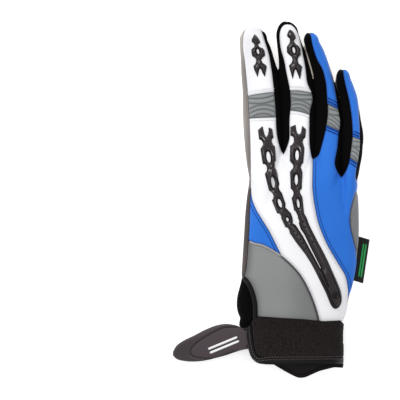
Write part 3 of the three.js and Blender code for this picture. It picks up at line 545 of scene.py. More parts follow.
CURVES.update({  # lines well outside the glove, which close the panels that run over its edge
    "right": straight((60, 250), (60, 10)), "wrist": straight((60, 17), (-60, 17)),
    "left": straight((-60, 10), (-60, 250)), "tips": straight((-60, 245), (60, 245)),
    "vent_top": straight((-38.6, 60.6), (-60, 60.6)), "palm_left": straight((-34.2, 121), (-60, 121))})
PANELS = {
    "white_back": ("index_outer", "index_low", "index_inner", "middle_left", "middle_low", "middle_right",
                   "white_blue", "right", "wrist", "white_grey", "thumb_side"),
    "blue_back": ("white_blue", "ring_left", "ring_low", "ring_right", "little_left", "little_low",
                  "little_outer", "blue_side", "right"),
    "blue_corner": ("thumb_side", "blue_grey", "thumb_edge"),
    "grey_wrist": ("blue_grey", "white_grey", "wrist", "slit", "thumb_edge"),
    "grey_side": ("blue_side",),
    "thumb_strip": ("thumb_edge", "vent_top", "left", "palm_left"),
    "vent_gusset": ("slit", "wrist", "left", "vent_top"),
    "index_tip": ("index_outer", "index_high", "index_inner", "tips"),
    "middle_tip": ("middle_left", "middle_high", "middle_right", "tips"),
    "ring_tip": ("ring_left", "ring_high", "ring_right", "tips"),
    "little_tip": ("little_left", "little_high", "little_outer", "tips"),
    "little_strip": ("little_outer", "right", "tips"),
    "index_flex": ("index_outer", "index_low", "index_inner", "index_high"),
    "middle_flex": ("middle_left", "middle_low", "middle_right", "middle_high"),
    "ring_flex": ("ring_left", "ring_low", "ring_right", "ring_high"),
    "little_flex": ("little_left", "little_low", "little_outer", "little_high"),
    "index_middle_gusset": ("index_inner", "middle_left", "tips"),
    "middle_ring_gusset": ("middle_right", "ring_left", "tips"),
    "ring_little_gusset": ("ring_right", "little_left", "tips")}
OUTLINES = {name: traced(*seams) for name, seams in PANELS.items()}
print("panels on the back:", len(OUTLINES))

# %% Where the back ends and the palm begins
SEAM_GAP = 0.24
SPLIT = 0.45            # the side seam's share of the height between palm and back
UNDER_CUFF = 17         # the panels end at this step, inside the cuff
CROTCH_FLOOR = 0.2      # share of the height up to which a crotch belongs to the palm


def split_height(y, share=SPLIT):
    """Height of the seam that runs round the side of the glove."""
    under, over = along(ARCH, 1, y), along(ARCH, 2, y)
    return under + share * (over - under)


back_area = np.vstack([CURVES["index_outer"], [(-70, 121), (-70, -20), (70, -20), (70, 260), (-20, 260)]])
between = np.max([outline_distance(skin, outline) for name, outline in OUTLINES.items()
                  if name.count("_") == 2], axis=0)     # only the three finger side walls have two such marks
above = skin[:, 2] - split_height(skin[:, 1])
deep = skin[:, 2] - split_height(skin[:, 1], CROTCH_FLOOR)
# the bottom of a crotch lies low but faces up, so it belongs to the back
above = np.where((between > 0) & (deep > 0), np.maximum(above, 4 * normals[:, 2]), above)
side = np.minimum(above, outline_distance(skin, back_area))
table = np.column_stack([skin, normals, side])
cut_points, cut_faces = clip(table, triangles, skin[:, 1] - UNDER_CUFF)
back = clip(cut_points, cut_faces, cut_points[:, 6] - SEAM_GAP / 2)
palm = clip(cut_points, cut_faces, -cut_points[:, 6] - SEAM_GAP / 2)
print("triangles: back", len(back[1]), "palm", len(palm[1]))

# %% [markdown]
# ## From sheet to sewn panel
# Sewing pulls a panel's edge down into the seam, and the foam between two seams stands up a little.
# That is a groove whose depth falls off with the distance from the edge. The sheet then gets its
# thickness by copying it inwards along its normals and closing the rim, in code instead of with a
# Solidify modifier, so that the rim's edges can be marked sharp in the mesh itself.

# %% Thickness and objects
def thickened(points, faces, normals, wall):
    """A closed shell: the sheet, its copy moved in by wall, and the rim between them."""
    inner = points - normals * np.broadcast_to(wall, len(points))[:, None]
    n = len(points)
    directed = np.vstack([faces[:, [i, (i + 1) % 3]] for i in range(3)])
    keys, back_keys = directed[:, 0] * n + directed[:, 1], directed[:, 1] * n + directed[:, 0]
    rim = directed[~np.isin(keys, back_keys)]
    a, b = rim.T
    return (np.vstack([points, inner]),
            np.vstack([faces, faces[:, ::-1] + n, np.column_stack([b, a, a + n]),
                       np.column_stack([b, a + n, b + n])]))


WELD, SLIVER = 0.00002, 0.000005        # metres: points closer than this are one, shorter edges go


def add_piece(name, points, faces, look, nodes=(), shade=None, sharp=38):
    """Makes an object of the frame out of points in the pattern's millimetres."""
    mesh = bpy.data.meshes.new(name)
    mesh.from_pydata(((points + ORIGIN) / 1000).tolist(), [], faces.tolist())
    if shade is not None:
        mesh.attributes.new("shade", "FLOAT", "POINT").data.foreach_set("value", shade.astype(np.float32))
    work = bmesh.new()
    work.from_mesh(mesh)
    bmesh.ops.remove_doubles(work, verts=work.verts, dist=WELD)
    bmesh.ops.dissolve_degenerate(work, edges=work.edges, dist=SLIVER)
    bmesh.ops.triangulate(work, faces=[f for f in work.faces if len(f.verts) > 4])
    work.to_mesh(mesh)
    work.free()
    mesh.shade_smooth()
    mesh.set_sharp_from_angle(angle=math.radians(sharp))
    mesh.materials.append(LOOKS[look])
    piece = bpy.data.objects.new(name, mesh)
    bpy.context.scene.collection.objects.link(piece)
    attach(piece, "root")
    if nodes:
        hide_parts(*nodes)


def sewn(name, look, sheet, faces, lift, shade, cad_node, wall=WALL, aside=0.0, sharp=38):
    """Raises a sheet along its normals, gives it its thickness and hands it over as a piece."""
    body = sheet[:, :3] + sheet[:, 3:6] * lift[:, None]
    body[:, 0] -= aside
    body[:, 2] = np.maximum(body[:, 2], 0)
    shell, shell_faces = thickened(body, faces, sheet[:, 3:6], wall)
    add_piece(name, shell, shell_faces, look, [cad_node], np.r_[shade, shade], sharp)
    return shell, shell_faces


print("wall of a panel:", WALL, "mm")

# %% [markdown]
# ## Finishes
# The cloths differ in colour, in the size of their weave and in how fuzzy they are, so they share a few
# node groups: one that lets a colour wander, one that knits, one that grains leather, one that teases
# loops, and one that paints shade into a piece where its edge dives into a seam, in its grooves and where
# it turns from the light. Each group reads the object's own coordinates and gives out a colour or a
# height, and the shader stays in each material.

# %% Helpers for node groups
def new_group(name, inputs, outputs):
    """An empty node group, with what it is given and what it gives out."""
    tree = bpy.data.node_groups.new(name, "ShaderNodeTree")
    for label, kind, value in inputs:
        tree.interface.new_socket(label, in_out="INPUT", socket_type=kind).default_value = value
    for label, kind in outputs:
        tree.interface.new_socket(label, in_out="OUTPUT", socket_type=kind)
    return tree, tree.nodes.new("NodeGroupInput").outputs, tree.nodes.new("NodeGroupOutput").inputs


def node(tree, kind, links=(), **settings):
    """A node with some of its properties set and some of its inputs linked or given a value."""
    made = tree.nodes.new(kind)
    for key, value in settings.items():
        setattr(made, key, value)
    for key, value in dict(links).items():
        if isinstance(value, bpy.types.NodeSocket):
            tree.links.new(value, made.inputs[key])
        else:
            made.inputs[key].default_value = value
    return made


def maths(tree, operation, *values):
    """A sum, product or other operation on numbers or sockets."""
    return node(tree, "ShaderNodeMath", dict(enumerate(values)), operation=operation).outputs[0]


def own_coordinates(tree):
    return node(tree, "ShaderNodeTexCoord").outputs["Object"]


def spots(tree, where, scale, detail=2.0, roughness=0.5):
    """Soft noise from 0 to 1."""
    return node(tree, "ShaderNodeTexNoise", {"Vector": where, "Scale": scale, "Detail": detail,
                                             "Roughness": roughness}).outputs["Fac"]


def mixed(tree, share, first, second, blend="MIX"):
    """Two colours mixed by a share, or blended in another way."""
    made = node(tree, "ShaderNodeMix", data_type="RGBA", blend_type=blend)
    for socket, value in ((made.inputs[0], share), (made.inputs[6], first), (made.inputs[7], second)):
        if isinstance(value, bpy.types.NodeSocket):
            tree.links.new(value, socket)
        else:
            socket.default_value = value
    return made.outputs[2]


print("node groups before the first:", len(bpy.data.node_groups))

# %% Wandering colour, and painted shade
COLOUR, NUMBER = "NodeSocketColor", "NodeSocketFloat"
WANDER, given, out = new_group("wandering colour", [
    ("Colour", COLOUR, (0.5, 0.5, 0.5, 1)), ("Depth", NUMBER, 0.1), ("Scale", NUMBER, 60.0)],
    [("Colour", COLOUR)])
broad = spots(WANDER, own_coordinates(WANDER), given["Scale"], 4.0, 0.6)
level = maths(WANDER, "MULTIPLY_ADD", maths(WANDER, "SUBTRACT", broad, 0.5),
              maths(WANDER, "MULTIPLY", given["Depth"], 2.0), 1.0)
grey_level = node(WANDER, "ShaderNodeCombineColor", {0: level, 1: level, 2: level}).outputs[0]
WANDER.links.new(mixed(WANDER, 1.0, given["Colour"], grey_level, "MULTIPLY"), out["Colour"])

# paints shade into a piece's colour, as far as its shade attribute says
PAINTED_SHADE, given, out = new_group("painted shade", [
    ("Colour", COLOUR, (0.5, 0.5, 0.5, 1)), ("Shade", COLOUR, (0.1, 0.1, 0.1, 1)), ("Gloss", NUMBER, 0.0)],
    [("Colour", COLOUR), ("Gloss", NUMBER)])
edge = node(PAINTED_SHADE, "ShaderNodeAttribute", attribute_name="shade").outputs["Fac"]
PAINTED_SHADE.links.new(mixed(PAINTED_SHADE, edge, given["Colour"], given["Shade"]), out["Colour"])
PAINTED_SHADE.links.new(maths(PAINTED_SHADE, "MULTIPLY", given["Gloss"], maths(PAINTED_SHADE, "SUBTRACT", 1.0, edge)),
                     out["Gloss"])

# %% Knit, leather grain and teased loops
KNIT, given, out = new_group("knit", [("Pitch", NUMBER, 0.0012)], [("Height", NUMBER)])
axes = node(KNIT, "ShaderNodeSeparateXYZ", {0: own_coordinates(KNIT)}).outputs
turns = maths(KNIT, "DIVIDE", 2 * math.pi, given["Pitch"])
lean = maths(KNIT, "ADD", axes[0], maths(KNIT, "MULTIPLY", axes[2], 0.7))
ribs = maths(KNIT, "SINE", maths(KNIT, "MULTIPLY", lean, turns))
loops = maths(KNIT, "SINE", maths(KNIT, "ADD", maths(KNIT, "MULTIPLY", axes[1], turns),
                                  maths(KNIT, "MULTIPLY", ribs, 1.4)))
KNIT.links.new(maths(KNIT, "MULTIPLY_ADD", loops, 0.35, maths(KNIT, "MULTIPLY_ADD", ribs, 0.15, 0.5)),
               out["Height"])

GRAIN, given, out = new_group("leather grain", [("Scale", NUMBER, 500.0)], [("Height", NUMBER)])
bent = node(GRAIN, "ShaderNodeTexNoise", {"Vector": own_coordinates(GRAIN), "Scale": 90.0, "Detail": 2.0})
where = node(GRAIN, "ShaderNodeVectorMath", {0: own_coordinates(GRAIN), 1: maths(
    GRAIN, "MULTIPLY", bent.outputs["Fac"], 0.004)}, operation="ADD").outputs[0]
cells = node(GRAIN, "ShaderNodeTexVoronoi", {"Vector": where, "Scale": given["Scale"]},
             feature="DISTANCE_TO_EDGE").outputs["Distance"]
GRAIN.links.new(node(GRAIN, "ShaderNodeMapRange", {0: cells, 1: 0.0, 2: 0.22}).outputs[0], out["Height"])

FLEECE, given, out = new_group("teased loops", [("Scale", NUMBER, 900.0)],
                               [("Height", NUMBER), ("Depth", NUMBER)])
curls = spots(FLEECE, own_coordinates(FLEECE), given["Scale"], 5.0, 0.75)
tufts = spots(FLEECE, own_coordinates(FLEECE), maths(FLEECE, "MULTIPLY", given["Scale"], 0.25), 2.0)
FLEECE.links.new(maths(FLEECE, "MULTIPLY_ADD", curls, 0.6, maths(FLEECE, "MULTIPLY", tufts, 0.4)),
                 out["Height"])
FLEECE.links.new(node(FLEECE, "ShaderNodeMapRange", {0: curls, 1: 0.35, 2: 0.65}).outputs[0], out["Depth"])
print("node groups:", [g.name for g in (WANDER, PAINTED_SHADE, KNIT, GRAIN, FLEECE)])


# %% Materials
def linear(red, green, blue):
    """A colour as a screen shows it, in the renderer's own numbers."""
    return tuple(((v / 255 + 0.055) / 1.055) ** 2.4 if v > 10 else v / 255 / 12.92
                 for v in (red, green, blue)) + (1.0,)


def use(tree, group, **values):
    """Places a node group in a material, with its inputs linked or given a value."""
    made = node(tree, "ShaderNodeGroup", node_tree=group)
    for label, value in values.items():
        if isinstance(value, bpy.types.NodeSocket):
            tree.links.new(value, made.inputs[label])
        else:
            made.inputs[label].default_value = value
    return made.outputs


SHEEN_ROUGHNESS, COAT_ROUGHNESS = 0.4, 0.2
HOLLOW_SHADE = {  # the shade's share in a knit and in a grain: what height takes off, and at no height
    "Pitch": (-0.16, 0.14), "Scale": (-0.18, 0.18)}


def finish(name, colour, shade, roughness, specular=0.2, sheen=0.0, wander=0.05, wander_scale=70.0,
           texture=None, size=0.0, bump=0.2, rise=0.0003, coat=0.0):
    """A cloth, leather or rubber: its colour, the shade painted into it, and the height of its texture."""
    material = bpy.data.materials.new(name)
    material.use_nodes = True
    tree = material.node_tree
    shader = tree.nodes["Principled BSDF"]
    shader.inputs["Roughness"].default_value = roughness
    shader.inputs["Specular IOR Level"].default_value = specular
    shader.inputs["Sheen Weight"].default_value = sheen
    shader.inputs["Sheen Roughness"].default_value = SHEEN_ROUGHNESS
    shader.inputs["Coat Roughness"].default_value = COAT_ROUGHNESS
    shown = use(tree, WANDER, Colour=linear(*colour), Depth=wander, Scale=wander_scale)["Colour"]
    if texture is not None:
        label = "Pitch" if texture is KNIT else "Scale"
        made = use(tree, texture, **{label: size})
        height = made["Height"]
        if texture is FLEECE:
            # painted shade: the fleece darkens where its loops lie low
            shown = mixed(tree, made["Depth"], linear(*shade), shown)
        else:
            hollow = maths(tree, "MULTIPLY_ADD", height, *HOLLOW_SHADE[label])
            shown = mixed(tree, hollow, shown, linear(*shade))
        lift = node(tree, "ShaderNodeBump", {"Height": height, "Strength": bump, "Distance": rise})
        tree.links.new(lift.outputs["Normal"], shader.inputs["Normal"])
    made = use(tree, PAINTED_SHADE, Colour=shown, Shade=linear(*shade), Gloss=coat)
    tree.links.new(made["Colour"], shader.inputs["Base Color"])
    if coat:
        tree.links.new(made["Gloss"], shader.inputs["Coat Weight"])
    return material


LOOKS = {
    "white": finish("white neoprene", (243, 243, 246), (150, 152, 160), 0.75, 0.15, 0.2, 0.015,
                    texture=KNIT, size=0.0011, bump=0.25),
    "blue": finish("blue neoprene", (40, 112, 210), (16, 48, 120), 0.72, 0.18, 0.15, 0.05,
                   texture=KNIT, size=0.0011, bump=0.3),
    "grey": finish("grey neoprene", (138, 140, 140), (52, 47, 48), 0.78, 0.15, 0.15, 0.04,
                   texture=KNIT, size=0.0013, bump=0.4),
    # the back's grey neoprene again, painted darker where it lies on the glove's side, away from the light
    "grey_side": finish("grey neoprene, shaded side", (124, 126, 130), (52, 50, 52), 0.78, 0.15, 0.15, 0.05,
                        texture=KNIT, size=0.0013, bump=0.4),
    "strip": finish("dark grey strip", (84, 77, 76), (40, 38, 40), 0.75, 0.15, 0.1, 0.06,
                    texture=KNIT, size=0.0013, bump=0.4),
    "flex": finish("ribbed stretch cloth", (138, 142, 143), (50, 50, 54), 0.6, 0.25, 0.1, 0.05,
                   texture=KNIT, size=0.0008, bump=0.3),
    "black": finish("black knit", (6, 5, 6), (1, 1, 1), 0.85, 0.04, 0.01, 0.15,
                    texture=KNIT, size=0.0010, bump=0.6),
    "leather": finish("grip leather", (208, 202, 196), (104, 98, 95), 0.55, 0.3, 0.0, 0.05,
                      texture=GRAIN, size=950.0, bump=0.4, rise=0.0002),
    "fleece": finish("loop fleece", (44, 38, 38), (22, 18, 18), 0.95, 0.05, 0.05, 0.15,
                     texture=FLEECE, size=800.0, bump=1.0, rise=0.0006),
    "satin": finish("satin binding", (12, 10, 11), (2, 2, 2), 0.45, 0.14, 0.0, 0.08,
                    texture=KNIT, size=0.0006, bump=0.3),
    "lining": finish("cuff lining", (26, 20, 22), (5, 4, 4), 0.55, 0.2, 0.0, 0.1,
                     texture=KNIT, size=0.0009, bump=0.4),
    "rubber": finish("relief rubber", (34, 26, 29), (1, 1, 1), 0.35, 0.06, 0.0, 0.08,
                     texture=GRAIN, size=1400.0, bump=0.12, rise=0.0001, coat=0.75),
    "tab": finish("tab rubber", (62, 51, 56), (12, 10, 11), 0.5, 0.35, 0.0, 0.06,
                  texture=GRAIN, size=1000.0, bump=0.25, rise=0.0001),
    "label": finish("woven label", (18, 22, 20), (6, 6, 6), 0.6, 0.25, 0.0, 0.1,
                    texture=KNIT, size=0.0005, bump=0.4),
    "green": finish("green label yarn", (38, 160, 82), (12, 70, 34), 0.5, 0.3, 0.0, 0.08,
                    texture=KNIT, size=0.0006, bump=0.4),
    "mark": finish("white print", (236, 236, 238), (170, 170, 174), 0.5, 0.3, 0.0, 0.02,
                   texture=GRAIN, size=1400.0, bump=0.1, rise=0.0001),
    "blue_thread": finish("dark blue thread", (10, 36, 112), (8, 24, 70), 0.6, 0.1, 0.0, 0.1,
                          texture=KNIT, size=0.0004, bump=0.4),
    "white_thread": finish("white thread", (226, 227, 231), (150, 150, 156), 0.55, 0.25, 0.0, 0.03,
                           texture=KNIT, size=0.0004, bump=0.4),
    "black_thread": finish("black thread", (14, 13, 14), (5, 5, 5), 0.5, 0.25, 0.0, 0.1,
                           texture=KNIT, size=0.0004, bump=0.4),
    "grey_cord": finish("grey piping", (158, 156, 152), (70, 68, 68), 0.6, 0.2, 0.0, 0.06,
                        texture=KNIT, size=0.0006, bump=0.4),
    "dark_cord": finish("dark piping", (74, 72, 74), (30, 28, 30), 0.6, 0.2, 0.0, 0.06,
                        texture=KNIT, size=0.0006, bump=0.4),
    "grey_thread": finish("grey thread", (92, 85, 87), (30, 28, 30), 0.5, 0.3, 0.0, 0.1,
                          texture=KNIT, size=0.0004, bump=0.4),
    # the grip leather again, painted darker for the shade deep between the fingers
    "edge_leather": finish("grip leather in painted shade", (176, 168, 158), (80, 74, 70), 0.55, 0.3, 0.0, 0.05,
                           texture=GRAIN, size=900.0, bump=0.3, rise=0.0001)}
print("finishes:", len(LOOKS))

# %% Which panel is which solid
SOLID_AND_LOOK = {
    "white_back": ("back_white", "white"), "blue_back": ("back_blue", "blue"),
    "blue_corner": ("back_blue_corner", "blue"), "grey_wrist": ("back_grey_wrist", "grey"),
    "grey_side": ("side_grey", "grey_side"), "thumb_strip": ("side_thumb", "strip"),
    "vent_gusset": ("vent_gusset", "black"), "little_strip": ("side_little", "black"),
    "index_middle_gusset": ("fourchette_index_middle", "black"),
    "middle_ring_gusset": ("fourchette_middle_ring", "black"),
    "ring_little_gusset": ("fourchette_ring_little", "black")}
for finger, look in (("index", "white"), ("middle", "white"), ("ring", "blue"), ("little", "blue")):
    SOLID_AND_LOOK[finger + "_tip"] = ("tip_" + finger, look)
    SOLID_AND_LOOK[finger + "_flex"] = ("flex_" + finger, "flex")
print("solids of the back:", len(SOLID_AND_LOOK))

# %% Ribs and hems
RIB_GROOVES = [  # place at a panel's sides and bow in its middle, as shares of its length
    (-0.2, 0.33), (0.02, 0.3), (0.24, 0.26), (0.76, -0.2), (0.96, -0.18)]
RIB_GROOVE_WIDTH, HEM_LINE_WIDTH = 0.6, 0.4
HEMS = {  # seams with a turned hem beside them, and how far its lines lie from the seam
    "index_tip": (("index_high",), (2.6,)), "middle_tip": (("middle_high",), (2.6,)),
    "white_back": (("index_low", "middle_low"), (2.6,)), "ring_tip": (("ring_high",), (1.4, 3.2)),
    "little_tip": (("little_high",), (1.4, 3.2)), "blue_back": (("ring_low", "little_low"), (1.4, 3.2))}


def halved(points, faces):
    """Each triangle split into four through the middles of its sides."""
    pairs = np.sort(np.vstack([faces[:, [0, 1]], faces[:, [1, 2]], faces[:, [2, 0]]]), axis=1)
    unique, place = np.unique(pairs, axis=0, return_inverse=True)
    middles = place.ravel().reshape(3, -1) + len(points)
    points = np.vstack([points, (points[unique[:, 0]] + points[unique[:, 1]]) / 2])
    a, b, c = faces.T
    ab, bc, ca = middles
    parts = (a, ab, ca), (ab, b, bc), (ca, bc, c), (ab, bc, ca)
    return points, np.vstack([np.column_stack(part) for part in parts])


def ribs_of(points, finger):
    """Height of the stretch ribs between a panel's two edges, from 0 in a groove to 1 on a rib."""
    low, high = CURVES[finger + "_low"], CURVES[finger + "_high"]
    to_low, to_high = curve_distance(points, low), curve_distance(points, high)
    share = to_low / (to_low + to_high)
    sides = FINGERS[finger][1]
    left, right = along(sides, 1, points[:, 1]), along(sides, 2, points[:, 1])
    across = np.clip((points[:, 0] - left) / (right - left), 0, 1)
    bow = np.sin(np.pi * across)
    away = np.min([np.abs(share - place - rise * bow) for place, rise in RIB_GROOVES], axis=0)
    return 1 - np.exp(-(away * (to_low + to_high) / RIB_GROOVE_WIDTH) ** 2)


def hem_lines(points, name):
    """1 on the lines of a panel's hems and 0 away from them."""
    seams, places = HEMS[name]
    to_seam = np.min([curve_distance(points, CURVES[seam]) for seam in seams], axis=0)
    return np.max([np.exp(-((to_seam - place) / HEM_LINE_WIDTH) ** 2) for place in places], axis=0)


print("panels with a hem:", len(HEMS))

# %% Shades of the panels
# painted shade in the seams' grooves: how dark, and how far from the edge it reaches
SEAM_GROOVE_SHADE, SHADE_WIDTH = 0.8, 0.55
TURNED_SHADE = {"white": 0.5}           # how much darker a cloth is where it faces sideways
HEM_SHADE = {"white": 0.3, "blue": 0.75}
RIB_SHADE = 0.6


def panel_shade(name, look, points, edge):
    """Painted shade of a panel: at its seams, where it faces sideways, and where single panels turn from the
    light.
    """
    turned = np.clip(1 - points[:, 5], 0, 1)
    shades = [SEAM_GROOVE_SHADE * np.exp(-(edge / SHADE_WIDTH) ** 2), TURNED_SHADE.get(look, 0.1) * turned ** 1.5]
    if look == "white":
        shades.append(0.2 * np.exp(-(edge / 2.4) ** 2))
    if name == "index_tip":         # its round end bends away from the light
        shades += [0.26 * ease((-28 - points[:, 0]) / 9), 0.26 * ease((points[:, 1] - 222) / 7)]
    if name == "grey_wrist":        # painted shade beside the strip and the slit, and growing towards the white, away from the light
        to_side = curve_distance(points, np.vstack([CURVES["thumb_edge"], CURVES["slit"]]))
        shades += [0.6 * np.exp(-(to_side / 3.4) ** 2), 0.28 * ease((points[:, 0] + 14) / 20)]
    if name == "thumb_strip":
        # painted shade, darker towards the fingers
        shades.append(0.3 * ease((points[:, 1] - 72) / 16))
    return np.max(shades, axis=0)


print("cloths that darken where they turn:", list(TURNED_SHADE))

# %% Sewing the panels of the back
GROOVE, GROOVE_WIDTH = 0.75, 1.0
PUFF, PUFF_REACH = 0.25, 5.0            # how far the foam stands up between seams
HEM_DEPTH, RIB_HEIGHT, GUSSET_SUNK = 0.2, 0.75, 0.3
VENT_BULGE = 7.0                        # how far the gusset's slack hangs over the cuff's corner
VENT_LOW, VENT_FULL = 24.9, 34.3        # where it ends, and where it starts to bulge

for name, outline in OUTLINES.items():
    cad_node, look = SOLID_AND_LOOK[name]
    points, faces = clip(back[0], back[1], outline_distance(back[0], outline) - SEAM_GAP / 2)
    if name.endswith("_flex"):
        points, faces = halved(points, faces)
    edge = np.minimum(outline_distance(points, outline), points[:, 6])
    lift = PUFF * (1 - np.exp(-edge / PUFF_REACH)) - GROOVE * np.exp(-(edge / GROOVE_WIDTH) ** 2)
    shade = panel_shade(name, look, points, edge)
    slack = 0.0
    if name in HEMS:
        hem = hem_lines(points, name)
        lift -= HEM_DEPTH * hem
        shade = np.maximum(shade, HEM_SHADE[look] * hem)
    if name.endswith("_flex"):
        ribs = ribs_of(points, name.split("_")[0])
        lift += RIB_HEIGHT * ribs * ease(edge / 1.5)
        shade = np.maximum(shade, RIB_SHADE * (1 - ribs) ** 1.2)
    if name.endswith("_gusset"):
        lift -= GUSSET_SUNK
    if name == "vent_gusset":
        low = ease((VENT_FULL - points[:, 1]) / 8) * ease((points[:, 1] - VENT_LOW) / 0.9)
        slack = VENT_BULGE * low * ease(edge / 5)
    sewn(name, look, points, faces, lift, shade, cad_node, aside=slack)
print("panels sewn:", len(OUTLINES))

# %% The palm
sheet, faces = palm
edge = -sheet[:, 6]
lift = -GROOVE * np.exp(-(edge / GROOVE_WIDTH) ** 2)
shade = 0.7 * np.exp(-(edge / SHADE_WIDTH) ** 2)
index_side_shade = 0.9 - 0.5 * ease((sheet[:, 1] - 200) / 28)           # painted shade on the index finger's side, lightest at its tip
index_side_shade = index_side_shade + 0.1 * ease((165 - sheet[:, 1]) / 20)
# the painted shade is deepest beside the index finger's outer seam, and lies only on the glove's left edge
index_side_shade *= 0.7 + 0.3 * np.exp(-(curve_distance(sheet, CURVES["index_outer"]) / 3) ** 2)
shade = np.maximum(shade, index_side_shade * ease((-28 - sheet[:, 0]) / 6))
shell, shell_faces = sewn("leather_palm", "leather", sheet, faces, lift, shade, "palm")
print("palm triangles:", len(shell_faces))

# %% [markdown]
# ## Laying things on the skin
# Rubber, thread and piping all lie on the cloth. A tree of the skin's triangles answers, for a point seen
# from above, how high the cloth is there and which way it faces. With that, a flat drawing becomes a
# relief: a fine grid is cut along the drawing's outline, dropped onto the cloth, and raised.

# %% Dropping points onto the cloth
SKIN_TREE = BVHTree.FromPolygons(skin.tolist(), triangles.tolist())


def dropped(tree, flat):
    """The points straight below these on a surface, its normals there, and whether it was met."""
    places, facing, met = np.zeros((len(flat), 3)), np.zeros((len(flat), 3)), np.zeros(len(flat), bool)
    for i, (x, y) in enumerate(flat):
        hit, normal, _, _ = tree.ray_cast(Vector((x, y, 90)), Vector((0, 0, -1)))
        if hit is not None:
            places[i], facing[i], met[i] = hit, normal, True
    facing[~met] = (0, 0, 1)
    return places, facing, met


def grid(low, high, step):
    """A flat grid of triangles over a rectangle."""
    xs, ys = np.arange(low[0], high[0] + step, step), np.arange(low[1], high[1] + step, step)
    x, y = np.meshgrid(xs, ys)
    n = len(xs)
    a = (np.arange(len(ys) - 1)[:, None] * n + np.arange(n - 1)).ravel()
    return (np.column_stack([x.ravel(), y.ravel()]),
            np.vstack([np.column_stack([a, a + 1, a + n + 1]), np.column_stack([a, a + n + 1, a + n])]))


knuckle = dropped(SKIN_TREE, [(0, 120)])[0][0]
print("the skin's height over the middle knuckle:", knuckle[2].round(1), "mm")


# %% The drawing of the rubber relief
# Two chains of links run down from the knuckles and end in one long arm. Both sides of each chain are
# measured points, in order round the outline. The arm's sides are smooth curves, the links' are straight.
INDEX_OUTER = [
    (-25.6, 162.8), (-28.6, 160.1), (-28, 153.9), (-26.6, 153.3), (-25.6, 152), (-25.2, 150.3),
    (-27.1, 147.1), (-25.6, 137.2), (-24.1, 137.1), (-23, 135.7), (-22.7, 133.9), (-23, 132.1),
    (-24.2, 130.5), (-21.4, 119.3), (-20, 118.4), (-18.7, 117), (-18.1, 115.3), (-18.5, 113.7),
    (-19.3, 112.6), (-15.9, 104), (-14.3, 103.8), (-13.1, 102), (-13, 100.4), (-10.4, 94.7),
    (-8.6, 94.1), (-7.7, 92.5)]
ARM_OUTER = [
    (-7.2, 90.3), (-2.2, 83.1), (2.7, 76.8), (6.3, 71.3), (10, 64.6), (13.6, 57.3), (17.2, 50),
    (19.4, 44.6), (21.2, 40.9), (23.3, 39.2), (25.7, 40), (27.4, 42.8), (27.9, 46.7), (27, 51.6),
    (24.5, 57.9), (21.5, 64.6), (18.5, 71.3), (14.8, 78.8), (11.8, 84.3), (8.7, 90.3), (5.7, 96.4),
    (3.9, 101.2), (2.4, 103.7)]
MIDDLE_CHAIN = [
    (2, 106.8), (1.2, 114.8), (-0.6, 118.1), (-0.3, 119.6), (0.8, 120.6), (1.1, 131.6), (0.1, 134.9),
    (0.6, 136.6), (1.7, 138), (2.6, 147.6), (1.4, 152), (2, 154.1), (3.2, 155), (3.7, 160.7),
    (1.2, 162.9), (0.4, 158.1), (-0.9, 157), (-2.1, 158.1), (-2.8, 160.7), (-3.1, 163.7),
    (-6.5, 162.2), (-6.5, 156.3), (-5.3, 156), (-4.4, 154.6), (-4.3, 152), (-5.3, 150.3),
    (-6.7, 149.3), (-6.9, 139.2), (-4.8, 136.2), (-4.8, 134.4), (-7.1, 131.7), (-6.7, 120.6),
    (-5.4, 119.3), (-4.7, 117.6), (-5.1, 115.8), (-6.1, 114.1), (-4.2, 105.1), (-3.9, 106.1),
    (-1.9, 102.1), (-1.8, 100.7), (-0.9, 98.6)]
ARM_SLIT = [
    (-1.2, 97), (0, 93.4), (2.6, 89.5), (7.3, 79.7), (13.8, 66.8), (13.4, 66.6), (6.5, 79.3),
    (1.4, 88.9), (-1.3, 92.9), (-3.2, 95.8)]
INDEX_INNER = [
    (-4.1, 96.6), (-5.5, 97.2), (-5.2, 98.6), (-5.6, 101.3), (-6.6, 104.1), (-10.3, 107.9),
    (-10.2, 110.6), (-12.7, 117.8), (-13.9, 119.2), (-14.8, 121.3), (-14.3, 123.8), (-16.2, 132.2),
    (-17.7, 134.6), (-17.7, 138.4), (-17, 139.3), (-16.9, 141.3), (-17.6, 149.2), (-18.7, 149.9),
    (-19.5, 151.9), (-19.6, 153.8), (-18.4, 154.9), (-19.2, 160.8), (-21.5, 161.8), (-21.5, 159.6),
    (-22, 157.1), (-23.2, 154.9), (-24.3, 157.1), (-24.9, 159.6)]
HAND_EYES = [  # middle, half width, half length, turn
    (-21.7, 141.8, 1.4, 3.9, 8), (-18.8, 124.8, 1.2, 3.8, 10), (-14, 110.8, 1.1, 3.1, 18),
    (-9, 99.8, 0.8, 1.5, 20), (-2.3, 143.1, 1.2, 3.5, 0), (-2.9, 126.5, 1.1, 3.6, 0),
    (-1.7, 110.6, 0.9, 3.1, 8)]
INDEX_TIP = [
    (-30.9, 225.6), (-32.9, 221.8), (-32.6, 220.4), (-31.4, 219.4), (-30.8, 218.2), (-31.1, 217),
    (-32.9, 215.4), (-32.9, 212.8), (-32.3, 210.7), (-30.3, 209.4), (-29.7, 207.7), (-30.1, 205.7),
    (-31.6, 203.9), (-31.1, 201.6), (-28.8, 196.4), (-27.7, 201.7), (-27.1, 202.4), (-26.3, 201.4),
    (-25.4, 199.1), (-23.9, 196.7), (-22.7, 203.6), (-23.5, 204.8), (-25.5, 206.2), (-26.5, 208.1),
    (-25.5, 209.8), (-23.9, 211.1), (-24.2, 214.4), (-25.5, 216.2), (-27.8, 217.1), (-28.7, 218.6),
    (-27.1, 219.9), (-27.6, 221.6), (-29.2, 224.1)]
